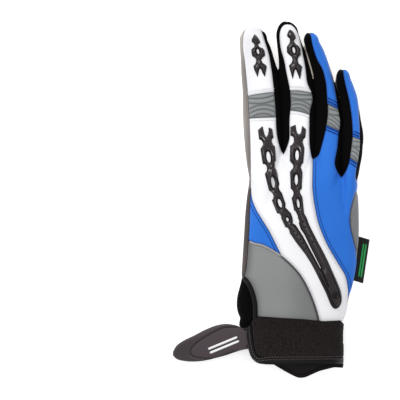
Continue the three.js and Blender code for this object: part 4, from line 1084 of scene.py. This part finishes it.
MIDDLE_TIP = [
    (-7.1, 228.7), (-8.2, 226.9), (-8.8, 224.8), (-8.2, 223.7), (-6.9, 222.8), (-6.7, 221),
    (-7.2, 219.4), (-8.8, 217.2), (-8.7, 213.4), (-7.2, 211.6), (-5.6, 210.3), (-5, 208.3),
    (-5.6, 206.2), (-7.4, 204.2), (-4.9, 194.9), (-3.6, 201), (-2.8, 201.9), (0, 194.6), (1.4, 203.6),
    (-1, 205.8), (-1.7, 208.3), (-1, 210.2), (0.4, 211.6), (0, 215.6), (-1.3, 217.8), (-3.6, 219.5),
    (-4.4, 221.3), (-3.1, 222.7), (-3.3, 224.5), (-4.3, 226.7), (-5.6, 228.1)]
BEADS = [(-9, 99.8), (-4.3, 91.7), (-2.2, 89.4), (0.1, 86.3), (1.8, 83.9), (3.9, 80.6),
         (1.7, 98.1), (3.2, 94.5), (6.2, 88.4), (8.2, 84.6)]
END_RING = (23.3, 49.2, 0.8, 2.1)           # middle, and the radii of its two rings
MIDDLE_GROOVE = [(13.6, 66.7), (16.2, 60.5), (18.6, 54.6)]


def ellipse(x, y, a, b, turn, sides=28):
    """An eye of a chain, as points round it."""
    angle = 2 * np.pi * np.arange(sides) / sides
    u, v = a * np.cos(angle), b * np.sin(angle)
    c, s = math.cos(math.radians(turn)), math.sin(math.radians(turn))
    return np.column_stack([x + u * c - v * s, y + u * s + v * c])


print("eyes in the chains:", len(HAND_EYES), "beads on the arm:", len(BEADS))

# %% What is carved into the relief
BEAD_WIDTH, RING_WIDTH, GROOVE_LINE = 0.55, 0.38, 0.45
RIM_PLACE, RIM_WIDTH = 1.7, 0.35            # the fine line inside the arm's edge
RIM_FROM = 72                               # that line fades out above this step


def carving(flat, depth):
    """How much is carved away at each point: beads, the arm's rings and the grooves in it."""
    beads = np.exp(-(np.min([np.hypot(*(flat - b).T) for b in BEADS], axis=0) / BEAD_WIDTH) ** 2)
    ring_away = np.min([np.abs(np.hypot(*(flat - END_RING[:2]).T) - r) for r in END_RING[2:]], axis=0)
    ring = np.exp(-(ring_away / RING_WIDTH) ** 2)
    rim = np.exp(-((depth - RIM_PLACE) / RIM_WIDTH) ** 2) * ease((RIM_FROM - flat[:, 1]) / 14)
    middle = np.exp(-(curve_distance(flat, smooth(MIDDLE_GROOVE)) / GROOVE_LINE) ** 2)
    return np.max([beads, ring, rim, middle], axis=0)


def crossing_ridges(eyes):
    """Lines that cross between each two eyes of a chain, from one's side to the other's."""
    lines = []
    for (x0, y0, a0, b0, _), (x1, y1, a1, b1, _) in zip(eyes, eyes[1:]):
        if y1 < y0:
            for sign in (-1, 1):
                lines.append(smooth([(x0 + sign * (a0 + 1.3), y0), (x0 + sign * (a0 + 0.4), y0 - b0 - 0.8),
                                     (x1 - sign * (a1 + 0.4), y1 + b1 + 0.8), (x1 - sign * (a1 + 1.3), y1)]))
    return lines


print("lines that cross between the eyes:", len(crossing_ridges(HAND_EYES)))

# %% Raising a drawing from the cloth
RELIEF_STEP, SUNK = 0.3, 0.35               # its grid's step, and how deep its foot goes into the cloth
FOOT, RISE, ROUNDING = 0.7, 1.4, 0.8        # height of the drawing's edge, what it gains inside, how fast
CROWN, CROWN_REACH = 0.6, 2.6               # the slow rise towards a bar's middle
RIDGE, RIDGE_WIDTH = 0.45, 0.42
CARVED, CARVED_SHADE = 0.7, 0.9
EDGE_SHADE_WIDTH = 1.1


def relief(name, node_name, outline, eyes, ridges, carved=None):
    """A drawing with a foot that stands up from the cloth, a rounded top and ridges on it."""
    flat, faces = grid(outline.min(0) - 1, outline.max(0) + 1, RELIEF_STEP)
    depth = np.min([outline_distance(flat, outline)] + [-outline_distance(flat, e) for e in eyes], axis=0)
    table, faces = clip(np.column_stack([flat, depth]), faces, depth)
    places, facing, met = dropped(SKIN_TREE, table[:, :2])
    depth = table[:, 2]
    height = FOOT + RISE * (1 - np.exp(-depth / ROUNDING)) + CROWN * (1 - np.exp(-depth / CROWN_REACH))
    shade = 1 - ease(depth / EDGE_SHADE_WIDTH)
    away = np.min([curve_distance(table[:, :2], line) for line in ridges], axis=0)
    height += RIDGE * np.exp(-(away / RIDGE_WIDTH) ** 2) * ease(depth / 0.8)
    if carved is not None:
        cut = carved(table[:, :2], depth)
        height -= CARVED * cut
        shade = np.maximum(shade, CARVED_SHADE * cut)
    shell, shell_faces = thickened(places + facing * height[:, None], faces, facing, height + SUNK)
    add_piece(name, shell, shell_faces, "rubber", [node_name], np.r_[shade, shade], sharp=50)
    print(name, "triangles:", len(shell_faces), "off the cloth:", int((~met).sum()))


hand_outline = np.vstack([INDEX_OUTER, smooth(ARM_OUTER), MIDDLE_CHAIN, ARM_SLIT, INDEX_INNER])
relief("hand_relief", "relief_hand", hand_outline, [ellipse(*eye) for eye in HAND_EYES],
       crossing_ridges(HAND_EYES), carving)
for finger, outline, eye in (("index", INDEX_TIP, (-28.6, 214, 0.8, 1.9, 12)),
                             ("middle", MIDDLE_TIP, (-4.2, 214.9, 0.9, 2.2, 12))):
    x, y = eye[:2]
    prongs = crossing_ridges([eye, (x + 1.6, y - 15, 0.6, 0.1, 0)])
    spine = smooth([(x - 2, y + 10), (x - 1, y + 5)])
    relief(finger + "_tip_relief", f"relief_{finger}_tip", np.array(outline), [ellipse(*eye)],
           prongs + [spine])

# %% [markdown]
# ## Thread
# A row of stitches is a line of short raised lozenges with a little space between them. Each is a real
# small mesh lying on the cloth, because a row seen close up catches the light in a way that a drawn line
# doesn't. They are copies of one lozenge, turned to the seam's direction and the cloth's slope.

# %% One stitch, and rows of them
STITCH_TURNS = 5
STITCH_RINGS = [(-0.62, 0.8), (0, 1), (0.62, 0.8)]


def stitch_mesh():
    """One lozenge from -1 to 1 along x, of radius 1."""
    turn = 2 * np.pi * np.arange(STITCH_TURNS) / STITCH_TURNS
    points = [(-1, 0, 0)] + [(u, r * math.cos(a), r * math.sin(a)) for u, r in STITCH_RINGS for a in turn]
    points.append((1, 0, 0))
    n, last = STITCH_TURNS, len(points) - 1
    faces = [(0, 1 + (i + 1) % n, 1 + i) for i in range(n)]
    for k in range(len(STITCH_RINGS) - 1):
        for i in range(n):
            a, b = 1 + k * n + i, 1 + k * n + (i + 1) % n
            faces += [(a, b, b + n), (a, b + n, a + n)]
    faces += [(last, last - n + i, last - n + (i + 1) % n) for i in range(n)]
    return np.array(points, float), np.array(faces)


LOZENGE, LOZENGE_FACES = stitch_mesh()
threads = {}


def offset_curve(curve, away):
    """The curve moved sideways, to its left where away is positive."""
    ahead = np.gradient(curve, axis=0)
    ahead /= np.linalg.norm(ahead, axis=1)[:, None]
    return curve + np.column_stack([-ahead[:, 1], ahead[:, 0]]) * away


def sew(thread, curve, tree=None, pitch=1.6, length=1.5, width=0.6, keep=None, lift=0.12):
    """Lays a row of stitches along a curve seen from above."""
    run = np.r_[0, np.cumsum(np.hypot(*np.diff(curve, axis=0).T))]
    marks = np.arange(pitch / 2, run[-1], pitch)
    ends = [np.column_stack([np.interp(marks + s * length / 2, run, c) for c in curve.T]) for s in (-1, 1)]
    middles = (ends[0] + ends[1]) / 2
    good = np.ones(len(middles), bool) if keep is None else keep(middles)
    places, facing, met = dropped(tree or SKIN_TREE, middles)
    for i in np.flatnonzero(good & met & (facing[:, 2] > 0.3)):
        ahead = np.append(ends[1][i] - ends[0][i], 0)
        ahead -= facing[i] * (ahead @ facing[i])
        ahead /= np.linalg.norm(ahead)
        axes = np.array([ahead * length / 2, np.cross(facing[i], ahead) * width / 2, facing[i] * width / 2])
        threads.setdefault(thread, []).append(places[i] + facing[i] * lift + LOZENGE @ axes)


def within(panel, margin=0.6):
    """Keeps a row of stitches inside a panel."""
    return lambda flat: outline_distance(flat, OUTLINES[panel]) > margin


print("triangles in one stitch:", len(LOZENGE_FACES))

# %% Rows beside the seams
sew("blue_thread", offset_curve(CURVES["white_blue"], 1.9), keep=within("blue_back"))
sew("blue_thread", offset_curve(CURVES["thumb_side"], -1.9), keep=within("blue_corner"))
for finger in ("ring", "little"):
    high, low = CURVES[finger + "_high"], CURVES[finger + "_low"]
    for away in (1.4, 3.2):
        sew("blue_thread", offset_curve(high, away), keep=within(finger + "_tip"), width=0.9)
        sew("blue_thread", offset_curve(low, -away), keep=within("blue_back"), width=0.9)
for finger in ("index", "middle"):
    sew("white_thread", offset_curve(CURVES[finger + "_high"], 2.2), keep=within(finger + "_tip"))
    sew("white_thread", offset_curve(CURVES[finger + "_low"], -2.2), keep=within("white_back"))
sew("white_thread", offset_curve(CURVES["white_blue"], -1.7), keep=within("white_back"))
sew("white_thread", offset_curve(CURVES["white_grey"], 1.7), keep=within("white_back"))
sew("white_thread", offset_curve(CURVES["thumb_side"], 1.7), keep=within("white_back"))
print("stitches so far:", {k: len(v) for k, v in threads.items()})


# %% [markdown]
# ## Piping and bindings
# A cord of piping shows as a narrow roll along a seam, and a bound edge as a wider, flatter one. Both are
# the same shape, an oval swept along the seam, half sunk in the cloth, with its ends drawn in.

# %% A roll laid along a curve
ROLL_SIDES, DRAWN_IN = 12, 3.0          # sides of a roll's section, and how many rings its end takes


def roll(name, look, curve, half_width, half_height, lift=0.0, tree=None, sides=ROLL_SIDES, nodes=()):
    """A piece: an oval swept along a curve that lies on a surface."""
    places, facing, met = dropped(tree or SKIN_TREE, curve)
    places, facing = places[met], facing[met]
    ahead = np.gradient(places, axis=0)
    ahead /= np.linalg.norm(ahead, axis=1)[:, None]
    across = np.cross(facing, ahead)
    across /= np.linalg.norm(across, axis=1)[:, None]
    up = np.cross(ahead, across)
    turn = 2 * np.pi * np.arange(sides) / sides
    t = np.linspace(0, 1, len(places))
    from_end = np.clip(np.minimum(t, 1 - t) * len(places) / DRAWN_IN, 0, 1)
    size = np.maximum(np.sqrt(from_end * (2 - from_end)), 0.15)
    rings = [places[i] + up[i] * lift + size[i] * (np.cos(turn)[:, None] * across[i] * half_width
                                                   + np.sin(turn)[:, None] * up[i] * half_height)
             for i in range(len(places))]
    add_piece(name, *tube(rings), look, nodes, sharp=60)


# a sliver of the palm shows beside the middle finger, in painted shade between the fingers
LEATHER_EDGE = [(3.1, 218.3), (5.2, 210.5), (7.6, 202), (9.4, 195.2)]
roll("corner_piping", "grey_cord", CURVES["blue_grey"][2:], 0.75, 0.7, lift=0.05)
grey_line = CURVES["white_grey"]
roll("wrist_piping", "dark_cord", grey_line[grey_line[:, 1] > 31], 0.5, 0.45)
roll("leather_edge_1", "edge_leather", smooth(LEATHER_EDGE), 0.8, 0.5, lift=0.25)
vent_line = CURVES["slit"]
vent_line = vent_line[vent_line[:, 1] > 30]
roll("vent_edge", "satin", vent_line, 1.6, 1.3, lift=0.1, sides=16, nodes=["vent_binding"])
print("rolls laid")

# %% [markdown]
# ## The thumb
# The thumb folds under the palm, so from above it doesn't show. It is a tube of its own, leather on the
# side that grips and dark cloth on the other, and it ends where it meets the palm.

# %% A tube cut by the hand
THUMB_SIDES = 96
ROOT_TURNS = np.radians([84, 70, 55, 40, 25, 12])
THUMB_TIP_TURNS = np.radians([0, 15, 30, 45, 58, 70, 80, 87])


def thumb_section(x, middle, half, low, high, size=1.0):
    """One section of the thumb, which runs across the glove."""
    y, z = oval((middle, (low + high) / 2), (half * size, (high - low) / 2 * size), THUMB_SIDES)
    return np.column_stack([np.full_like(y, x), y, z])


def thumb_rings():
    """The thumb's sections: its round root inside the hand, its length, and its round tip."""
    x, *row = THUMB[0]
    for turn in ROOT_TURNS:
        yield thumb_section(x - THUMB_ROUND * math.sin(turn), *row, math.cos(turn))
    for x in np.arange(THUMB[0][0], THUMB[-1][0], 1.0):
        yield thumb_section(x, *(along(THUMB, column, x) for column in (1, 2, 3, 4)))
    x, middle, *row = THUMB[-1]
    for turn in THUMB_TIP_TURNS:
        t, s = math.sin(turn), math.cos(turn)
        yield thumb_section(x + (THUMB_TIP[0] - x) * t, middle + (THUMB_TIP[1] - middle) * t, *row, s)


def depth_in(tree, points):
    """Distance to a closed surface: positive outside it, negative inside."""
    result = np.empty(len(points))
    for i, p in enumerate(points):
        place, normal, _, distance = tree.find_nearest(Vector(p))
        result[i] = distance if (Vector(p) - place).dot(normal) > 0 else -distance
    return result


THUMB_SEAM = 7          # height of the seam between its leather and its cloth
OFF_THE_HAND = 0.15
points, faces = tube(list(thumb_rings()))
facing = normals_of(points, faces)
outside = depth_in(SKIN_TREE, points)
points, faces = clip(np.column_stack([points, facing, outside]), faces, outside - OFF_THE_HAND)
for name, look, cad_node, sign in (("thumb_leather", "leather", "thumb_front", 1),
                                   ("thumb_cloth", "strip", "thumb_back", -1)):
    edge = sign * (points[:, 2] - THUMB_SEAM)
    part, part_faces = clip(np.column_stack([points, edge]), faces, edge - SEAM_GAP / 2)
    edge = np.minimum(part[:, 7], part[:, 6])
    lift = -0.6 * np.exp(-(edge / GROOVE_WIDTH) ** 2)
    shade = 0.7 * np.exp(-(edge / SHADE_WIDTH) ** 2)
    sewn(name, look, part, part_faces, lift, shade, cad_node)
print("thumb's box:", points[:, :3].min(0).round(1), points[:, :3].max(0).round(1))

# %% [markdown]
# ## The cuff
# The cuff is a ring round the wrist: a wide band of loop-faced fleece over the back, whose end is rounded
# and bound with satin, and a thinner half under the palm that ends in a blunt V. The ring is swept as a
# fine tube wall and cut with the same distances as the panels.

# %% The ring's sections
CUFF_GAP, CUFF_WALL, CUFF_INNER = 0.5, 2.6, 1.8
CUFF_TOP = [(-60, 24.5), (-37, 25), (-30.4, 32.8), (-17, 32.1), (3.4, 30.9), (17, 29.4), (28.6, 29.9),
            (31, 27), (60, 26)]
BAND_EDGE = [(-37.9, 30), (-37.2, 25.8), (-36.8, 21.1), (-36.2, 15.6), (-35.4, 10.9), (-34, 6.8),
             (-32, 4.1), (-28.6, 2), (-24.5, 1.4), (0, 1.4), (45, 1.4)]
CUFF_V = [(-60, 16), (-36.5, 15), (-35, 10), (-32.6, 6), (-28, 3.2), (-19.4, 1.4), (-10.2, -4.1),
          (-2, -8.3), (0.7, -8.8), (4.1, -8.3), (13.6, -4.1), (23.8, -1.4), (60, -1.6)]
BINDING = 4.0           # width of the satin round the band
CUFF_ROW = 10           # below this step the ring keeps its section


def polyline(points, step=0.7):
    """Straight runs between points, as evenly spaced points."""
    return np.vstack([smooth(pair, step)[:-1] for pair in zip(points, points[1:])] + [points[-1:]])


def cuff_wall(grow, sides=260, step=0.6):
    """The ring's surface, grown outwards by so much, with its normals."""
    ys = np.arange(-11, 34, step)
    rings = []
    for y in ys:
        row = max(y, CUFF_ROW)
        left, right = along(HAND, 1, row), along(HAND, 2, row)
        under, over = along(ARCH, 1, row), along(ARCH, 2, row)
        x, z = oval(((left + right) / 2, (under + over) / 2),
                    ((right - left) / 2 + grow, (over - under) / 2 + grow), sides)
        rings.append(np.column_stack([x, np.full_like(x, y), z]))
    points, faces = tube(rings)
    points, faces = points[:-2], faces[(faces < len(points) - 2).all(1)]
    return points, faces, normals_of(points, faces)


band_line = smooth(BAND_EDGE)
top_line = polyline(CUFF_TOP)
band_outline = np.vstack([band_line, top_line[(top_line[:, 0] > -37.9)][::-1]])
band_outline[:, 0] = np.clip(band_outline[:, 0], -60, 45)
points, faces, facing = cuff_wall(CUFF_GAP + CUFF_WALL)
height = points[:, 2] - (split_height(np.maximum(points[:, 1], CUFF_ROW)) + 0.3)
inside = np.minimum(outline_distance(points, band_outline), height)
to_edge = curve_distance(points, band_line)
points, faces = clip(np.column_stack([points, facing, inside, to_edge]), faces, inside)
print("band outline:", len(band_outline), "triangles:", len(faces))

# %% The fleece band and its satin edge
for name, look, cad_node, sign in (("fleece_band", "fleece", "cuff_band", 1),
                                   ("satin_edge", "satin", "cuff_binding", -1)):
    beyond = sign * (points[:, 7] - BINDING) - 0.1
    part, part_faces = clip(points, faces, beyond)
    if sign > 0:
        edge = np.minimum(part[:, 6], part[:, 7] - BINDING)
        lift = -0.9 * np.exp(-(edge / 0.9) ** 2) + 0.16 * unevenness(part[:, :3], 5, 14)
    else:
        across = np.clip(part[:, 7] / BINDING, 0, 1)
        lift = -0.7 + 1.2 * np.sqrt(np.clip(4 * across * (1 - across), 0, 1))
        lift -= 0.5 * ease((part[:, 0] - 24) / 4)
        edge = np.minimum(part[:, 7], BINDING - part[:, 7])
    shade = 0.6 * np.exp(-(edge / 0.5) ** 2)
    sewn(name, look, part, part_faces, lift, shade, cad_node, CUFF_WALL + np.minimum(lift, 0.2), sharp=50)
BAND_TREE = BVHTree.FromPolygons(points[:, :3].tolist(), faces.tolist())
lower = ease((band_line[:, 0] + 33) / 14)[:, None]
for at_end, along_edge, lift in ((1.0, 3.6, 0.45), (2.8, 5.0, 0.3)):      # the rows close up round the end
    row = offset_curve(band_line, at_end + (along_edge - at_end) * lower)
    sew("grey_thread", row, BAND_TREE, pitch=1.8, length=1.4, width=0.6, lift=lift)
print("band sewn")

# %% The palm half and its blunt V
v_line = polyline(CUFF_V)
palm_outline = np.vstack([v_line, top_line[::-1]])
points, faces, facing = cuff_wall(CUFF_GAP + CUFF_INNER)
height = split_height(np.maximum(points[:, 1], CUFF_ROW)) - points[:, 2]
inside = np.minimum(outline_distance(points, palm_outline), height)
part, faces = clip(np.column_stack([points, facing, inside]), faces, inside)
edge = part[:, 6]
groove = np.exp(-((edge - 1.7) / 0.4) ** 2)
lift = -0.5 * np.exp(-(edge / 0.8) ** 2) - 0.4 * groove + 0.8 * ease((part[:, 0] - 18) / 8)
shade = np.maximum(0.5 * np.exp(-(edge / 0.6) ** 2), 0.8 * groove)
shade = np.maximum(shade, 0.9 * ease((part[:, 1] + 1) / 2.5) * (part[:, 1] < 8))      # painted shadow under the band's edge
shell, shell_faces = sewn("palm_cuff", "lining", part, faces, lift, shade, "cuff_palm", CUFF_INNER)
inner_tree = BVHTree.FromPolygons(shell.tolist(), shell_faces.tolist())
sew("black_thread", offset_curve(v_line, 2.0), inner_tree, lift=0.1, keep=lambda flat: flat[:, 1] < 1.2)
print("palm cuff's box:", shell.min(0).round(2), shell.max(0).round(2))

# %% [markdown]
# ## The pull tab
# The tab is moulded rubber, a leaf that slopes from the cuff down to the table. It has a rounded rim, a
# raised leaf inside it, and rows of small grip bumps near the tip. It is a flat grid cut along the leaf's
# outline, raised by its distance from the two outlines, and then sloped.

# %% Leaf, rim and grip bumps
TAB = [(-34, 11.6, 25.4), (-38.5, 10.8, 25.8), (-44, 9.2, 27.6), (-50, 7.1, 28.4), (-56, 5.4, 27.6),
       (-64, 3.4, 24.6), (-72, 2.5, 20.4), (-79, 2.9, 17), (-84, 4.2, 13.4), (-86.6, 6.6, 9.2)]
TAB_ROOT, TAB_FALL, TAB_THICK = 15.5, math.tan(math.radians(16)), 2.6      # root's height, slope, thickness
TAB_STEP, RIM_ROUND, RIM_DROP = 0.42, 1.6, 1.5      # its grid's step, its rim's width and depth
CREASE, CREASE_WIDTH = 0.55, 0.55                   # the line round the raised leaf
BUMP, BUMP_ALONG, BUMP_ACROSS, BUMP_LEAN = 0.32, 2.1, 1.7, 0.25
LEAF = [(-51.7, 25.8), (-59.2, 22.4), (-64.6, 19.4), (-70, 15.6), (-73.4, 12.2), (-74.8, 8.8),
        (-72.8, 6.1), (-64.6, 4.8), (-57.1, 5.8), (-46, 9.6), (-36, 12.5), (-36, 24.6), (-44, 26.2)]


def closed_curve(points, step=0.5):
    """A smooth closed line through points."""
    wrapped = list(points[-3:]) + list(points) + list(points[:3])
    curve = smooth(wrapped, step)
    start = np.linalg.norm(curve - points[0], axis=1)[:len(curve) // 3].argmin()
    end = len(curve) // 2 + np.linalg.norm(curve - points[0], axis=1)[len(curve) // 2:].argmin()
    return curve[start:end]


rows = np.array(TAB)
tab_outline = np.vstack([smooth(rows[:, [0, 1]]), smooth(rows[::-1][:, [0, 2]])])
leaf_outline = closed_curve(LEAF)
flat, faces = grid(tab_outline.min(0) - 1, tab_outline.max(0) + 1, TAB_STEP)
depth = outline_distance(flat, tab_outline)
part, faces = clip(np.column_stack([flat, depth]), faces, depth)
depth, leaf = part[:, 2], outline_distance(part, leaf_outline)
height = TAB_THICK - RIM_DROP * (1 - np.sqrt(1 - (1 - np.clip(depth / RIM_ROUND, 0, 1)) ** 2))
height += 0.5 * ease(leaf / 1.2 + 0.3) + 0.35 * (1 - np.exp(-np.maximum(leaf, 0) / 5))
crease = np.exp(-(leaf / CREASE_WIDTH) ** 2)
height -= CREASE * crease
bumps = (np.sin(2 * np.pi * (part[:, 0] + BUMP_LEAN * part[:, 1]) / BUMP_ALONG)
         * np.sin(2 * np.pi * part[:, 1] / BUMP_ACROSS))
grips = ease((-leaf - 0.7) / 0.8) * ease((-66 - part[:, 0]) / 6) * ease((depth - 1.0) / 0.8)
height += BUMP * grips * bumps
shade = np.maximum(0.85 * crease, 0.9 * (1 - ease(depth / 0.8)))
shade = np.maximum(shade, 0.6 * grips * (bumps < -0.1))
base = TAB_ROOT + TAB_FALL * (part[:, 0] - TAB[0][0])
up = np.tile([0.0, 0.0, 1.0], (len(part), 1))
top = np.column_stack([part[:, :2], base + height])
shell, shell_faces = thickened(top, faces, up, height)
add_piece("pull_tab_leaf", shell, shell_faces, "tab", ["pull_tab"], np.r_[shade, shade], sharp=50)
TAB_TREE = BVHTree.FromPolygons(top.tolist(), faces.tolist())
print("tab's box:", shell.min(0).round(2), shell.max(0).round(2))

# %% Two plain bars on the tab
for i, (start, end) in enumerate((((-62.5, 11.2), (-42.5, 19.6)), ((-61.3, 8.6), (-41.3, 17.0)))):
    roll(f"tab_bar_{i + 1}", "mark", smooth((start, end), 0.5), 0.75, 0.3, lift=0.1, tree=TAB_TREE)
print("bars laid on the tab")

# %% [markdown]
# ## The side label
# A folded ribbon is caught in the seam of the little finger's edge. Its outer long side is the fold, so it
# is round, and the ribbon droops a little towards it. Two plain woven stripes run along it.

# %% A folded ribbon
LABEL = np.array([(40.1, 88.1), (47.3, 86), (42.8, 56.1), (35.8, 58.3)])
LABEL_HEIGHT, LABEL_THICK = 26, 1.0
LABEL_DROOP, LABEL_WAVE = 0.5, 0.25
RIBBON_SIDES, RIBBON_RINGS = 40, 90


def label_point(u, v):
    """A place on the label: u from the seam to the fold, v from its lower to its upper end."""
    low = LABEL[3] + (LABEL[2] - LABEL[3]) * u[:, None]
    high = LABEL[0] + (LABEL[1] - LABEL[0]) * u[:, None]
    return low + (high - low) * v[:, None]


turn = 2 * np.pi * (np.arange(RIBBON_SIDES) + 0.5) / RIBBON_SIDES
c, s = np.cos(turn), np.sin(turn)
rings = []
for v in np.linspace(0, 1, RIBBON_RINGS):
    u = 0.46 + 0.54 * np.sign(c) * np.abs(c) ** 0.25
    flat = label_point(u, np.full_like(u, v))
    z = LABEL_HEIGHT + LABEL_THICK / 2 + 0.5 * np.sign(s) * np.abs(s) ** 0.5
    z += -LABEL_DROOP * np.maximum(u, 0) ** 2 + LABEL_WAVE * math.sin(5 * v) * np.maximum(u, 0)
    rings.append(np.column_stack([flat, z]))
points, faces = tube(rings)
add_piece("side_ribbon", points, faces, "label", ["side_label"], sharp=60)
LABEL_TREE = BVHTree.FromPolygons(points.tolist(), faces.tolist())
for i, u in enumerate((0.5, 0.72)):
    ends = label_point(np.array([u, u]), np.array([0.12, 0.88]))
    roll(f"label_stripe_{i + 1}", "green", smooth(ends, 0.5), 0.55, 0.22, lift=0.05, tree=LABEL_TREE)
print("label's box:", points.min(0).round(2), points.max(0).round(2))

# %% The threads as objects
for thread, lozenges in threads.items():
    points = np.vstack(lozenges)
    faces = np.vstack([LOZENGE_FACES + i * len(LOZENGE) for i in range(len(lozenges))])
    add_piece(thread, points, faces, thread, sharp=70)
print("stitches:", {k: len(v) for k, v in threads.items()})

# %% [markdown]
# ## Floor, light and camera
# The glove lies on plain white paper under wide soft lights, and the camera looks straight down from far
# off through a long lens, so that near and far parts of the glove keep their size in the picture.

# %% Floor
PAPER_REACH, PAPER_GLOW = 3.0, 0.45
paper = bpy.data.meshes.new("paper")
corners = [(x * PAPER_REACH, y * PAPER_REACH, 0) for x, y in ((-1, -1), (1, -1), (1, 1), (-1, 1))]
paper.from_pydata(corners, [], [(0, 1, 2, 3)])
floor = bpy.data.objects.new("paper", paper)
bpy.context.scene.collection.objects.link(floor)
paper.materials.append(finish("white paper", (253, 253, 254), (240, 240, 242), 0.9, 0.05, wander=0.004,
                              texture=GRAIN, size=300.0, bump=0.05))
glow = paper.materials[0].node_tree.nodes["Principled BSDF"].inputs
glow["Emission Color"].default_value = (1, 1, 1, 1)
glow["Emission Strength"].default_value = PAPER_GLOW
print("paper laid, metres across:", 2 * PAPER_REACH)

# %% Lights
LOOK_AT = (-0.04835, 0.000076)          # the middle of the picture, in metres
LIT_PLACE = Vector((LOOK_AT[0] + 0.05, LOOK_AT[1], 0.02))
ROOM_LIGHT = 0.66
world = bpy.data.worlds.new("soft room")
world.use_nodes = True
world.node_tree.nodes["Background"].inputs["Color"].default_value = (1, 1, 1, 1)
world.node_tree.nodes["Background"].inputs["Strength"].default_value = ROOM_LIGHT
bpy.context.scene.world = world


def soft_light(name, place, size, power):
    """A round lamp that faces the glove and doesn't show in the picture."""
    light = bpy.data.lights.new(name, "AREA")
    light.shape = "DISK"
    light.size = size
    light.energy = power
    lamp = bpy.data.objects.new(name, light)
    lamp.location = place
    lamp.rotation_euler = (LIT_PLACE - Vector(place)).to_track_quat("-Z", "Y").to_euler()
    lamp.visible_camera = False
    bpy.context.scene.collection.objects.link(lamp)


soft_light("window", (-0.7, 0.75, 1.1), 0.45, 10)
soft_light("fill", (0.15, -0.1, 1.5), 1.0, 4)
print("lamps: 2, room light:", ROOM_LIGHT)

# %% Camera
PICTURE_WIDTH = 0.272                   # metres across the picture at the subject's height
DISTANCE, SUBJECT_HEIGHT, SENSOR = 4.0, 0.022, 36
eye = bpy.data.cameras.new("eye")
eye.sensor_width = SENSOR
eye.lens = SENSOR * (DISTANCE - SUBJECT_HEIGHT) / PICTURE_WIDTH
eye.clip_start, eye.clip_end = 0.1, 50
camera = bpy.data.objects.new("eye", eye)
camera.location = (*LOOK_AT, DISTANCE)
bpy.context.scene.collection.objects.link(camera)
bpy.context.scene.camera = camera
bpy.context.scene.view_settings.view_transform = "Standard"
print("lens:", round(eye.lens), "mm")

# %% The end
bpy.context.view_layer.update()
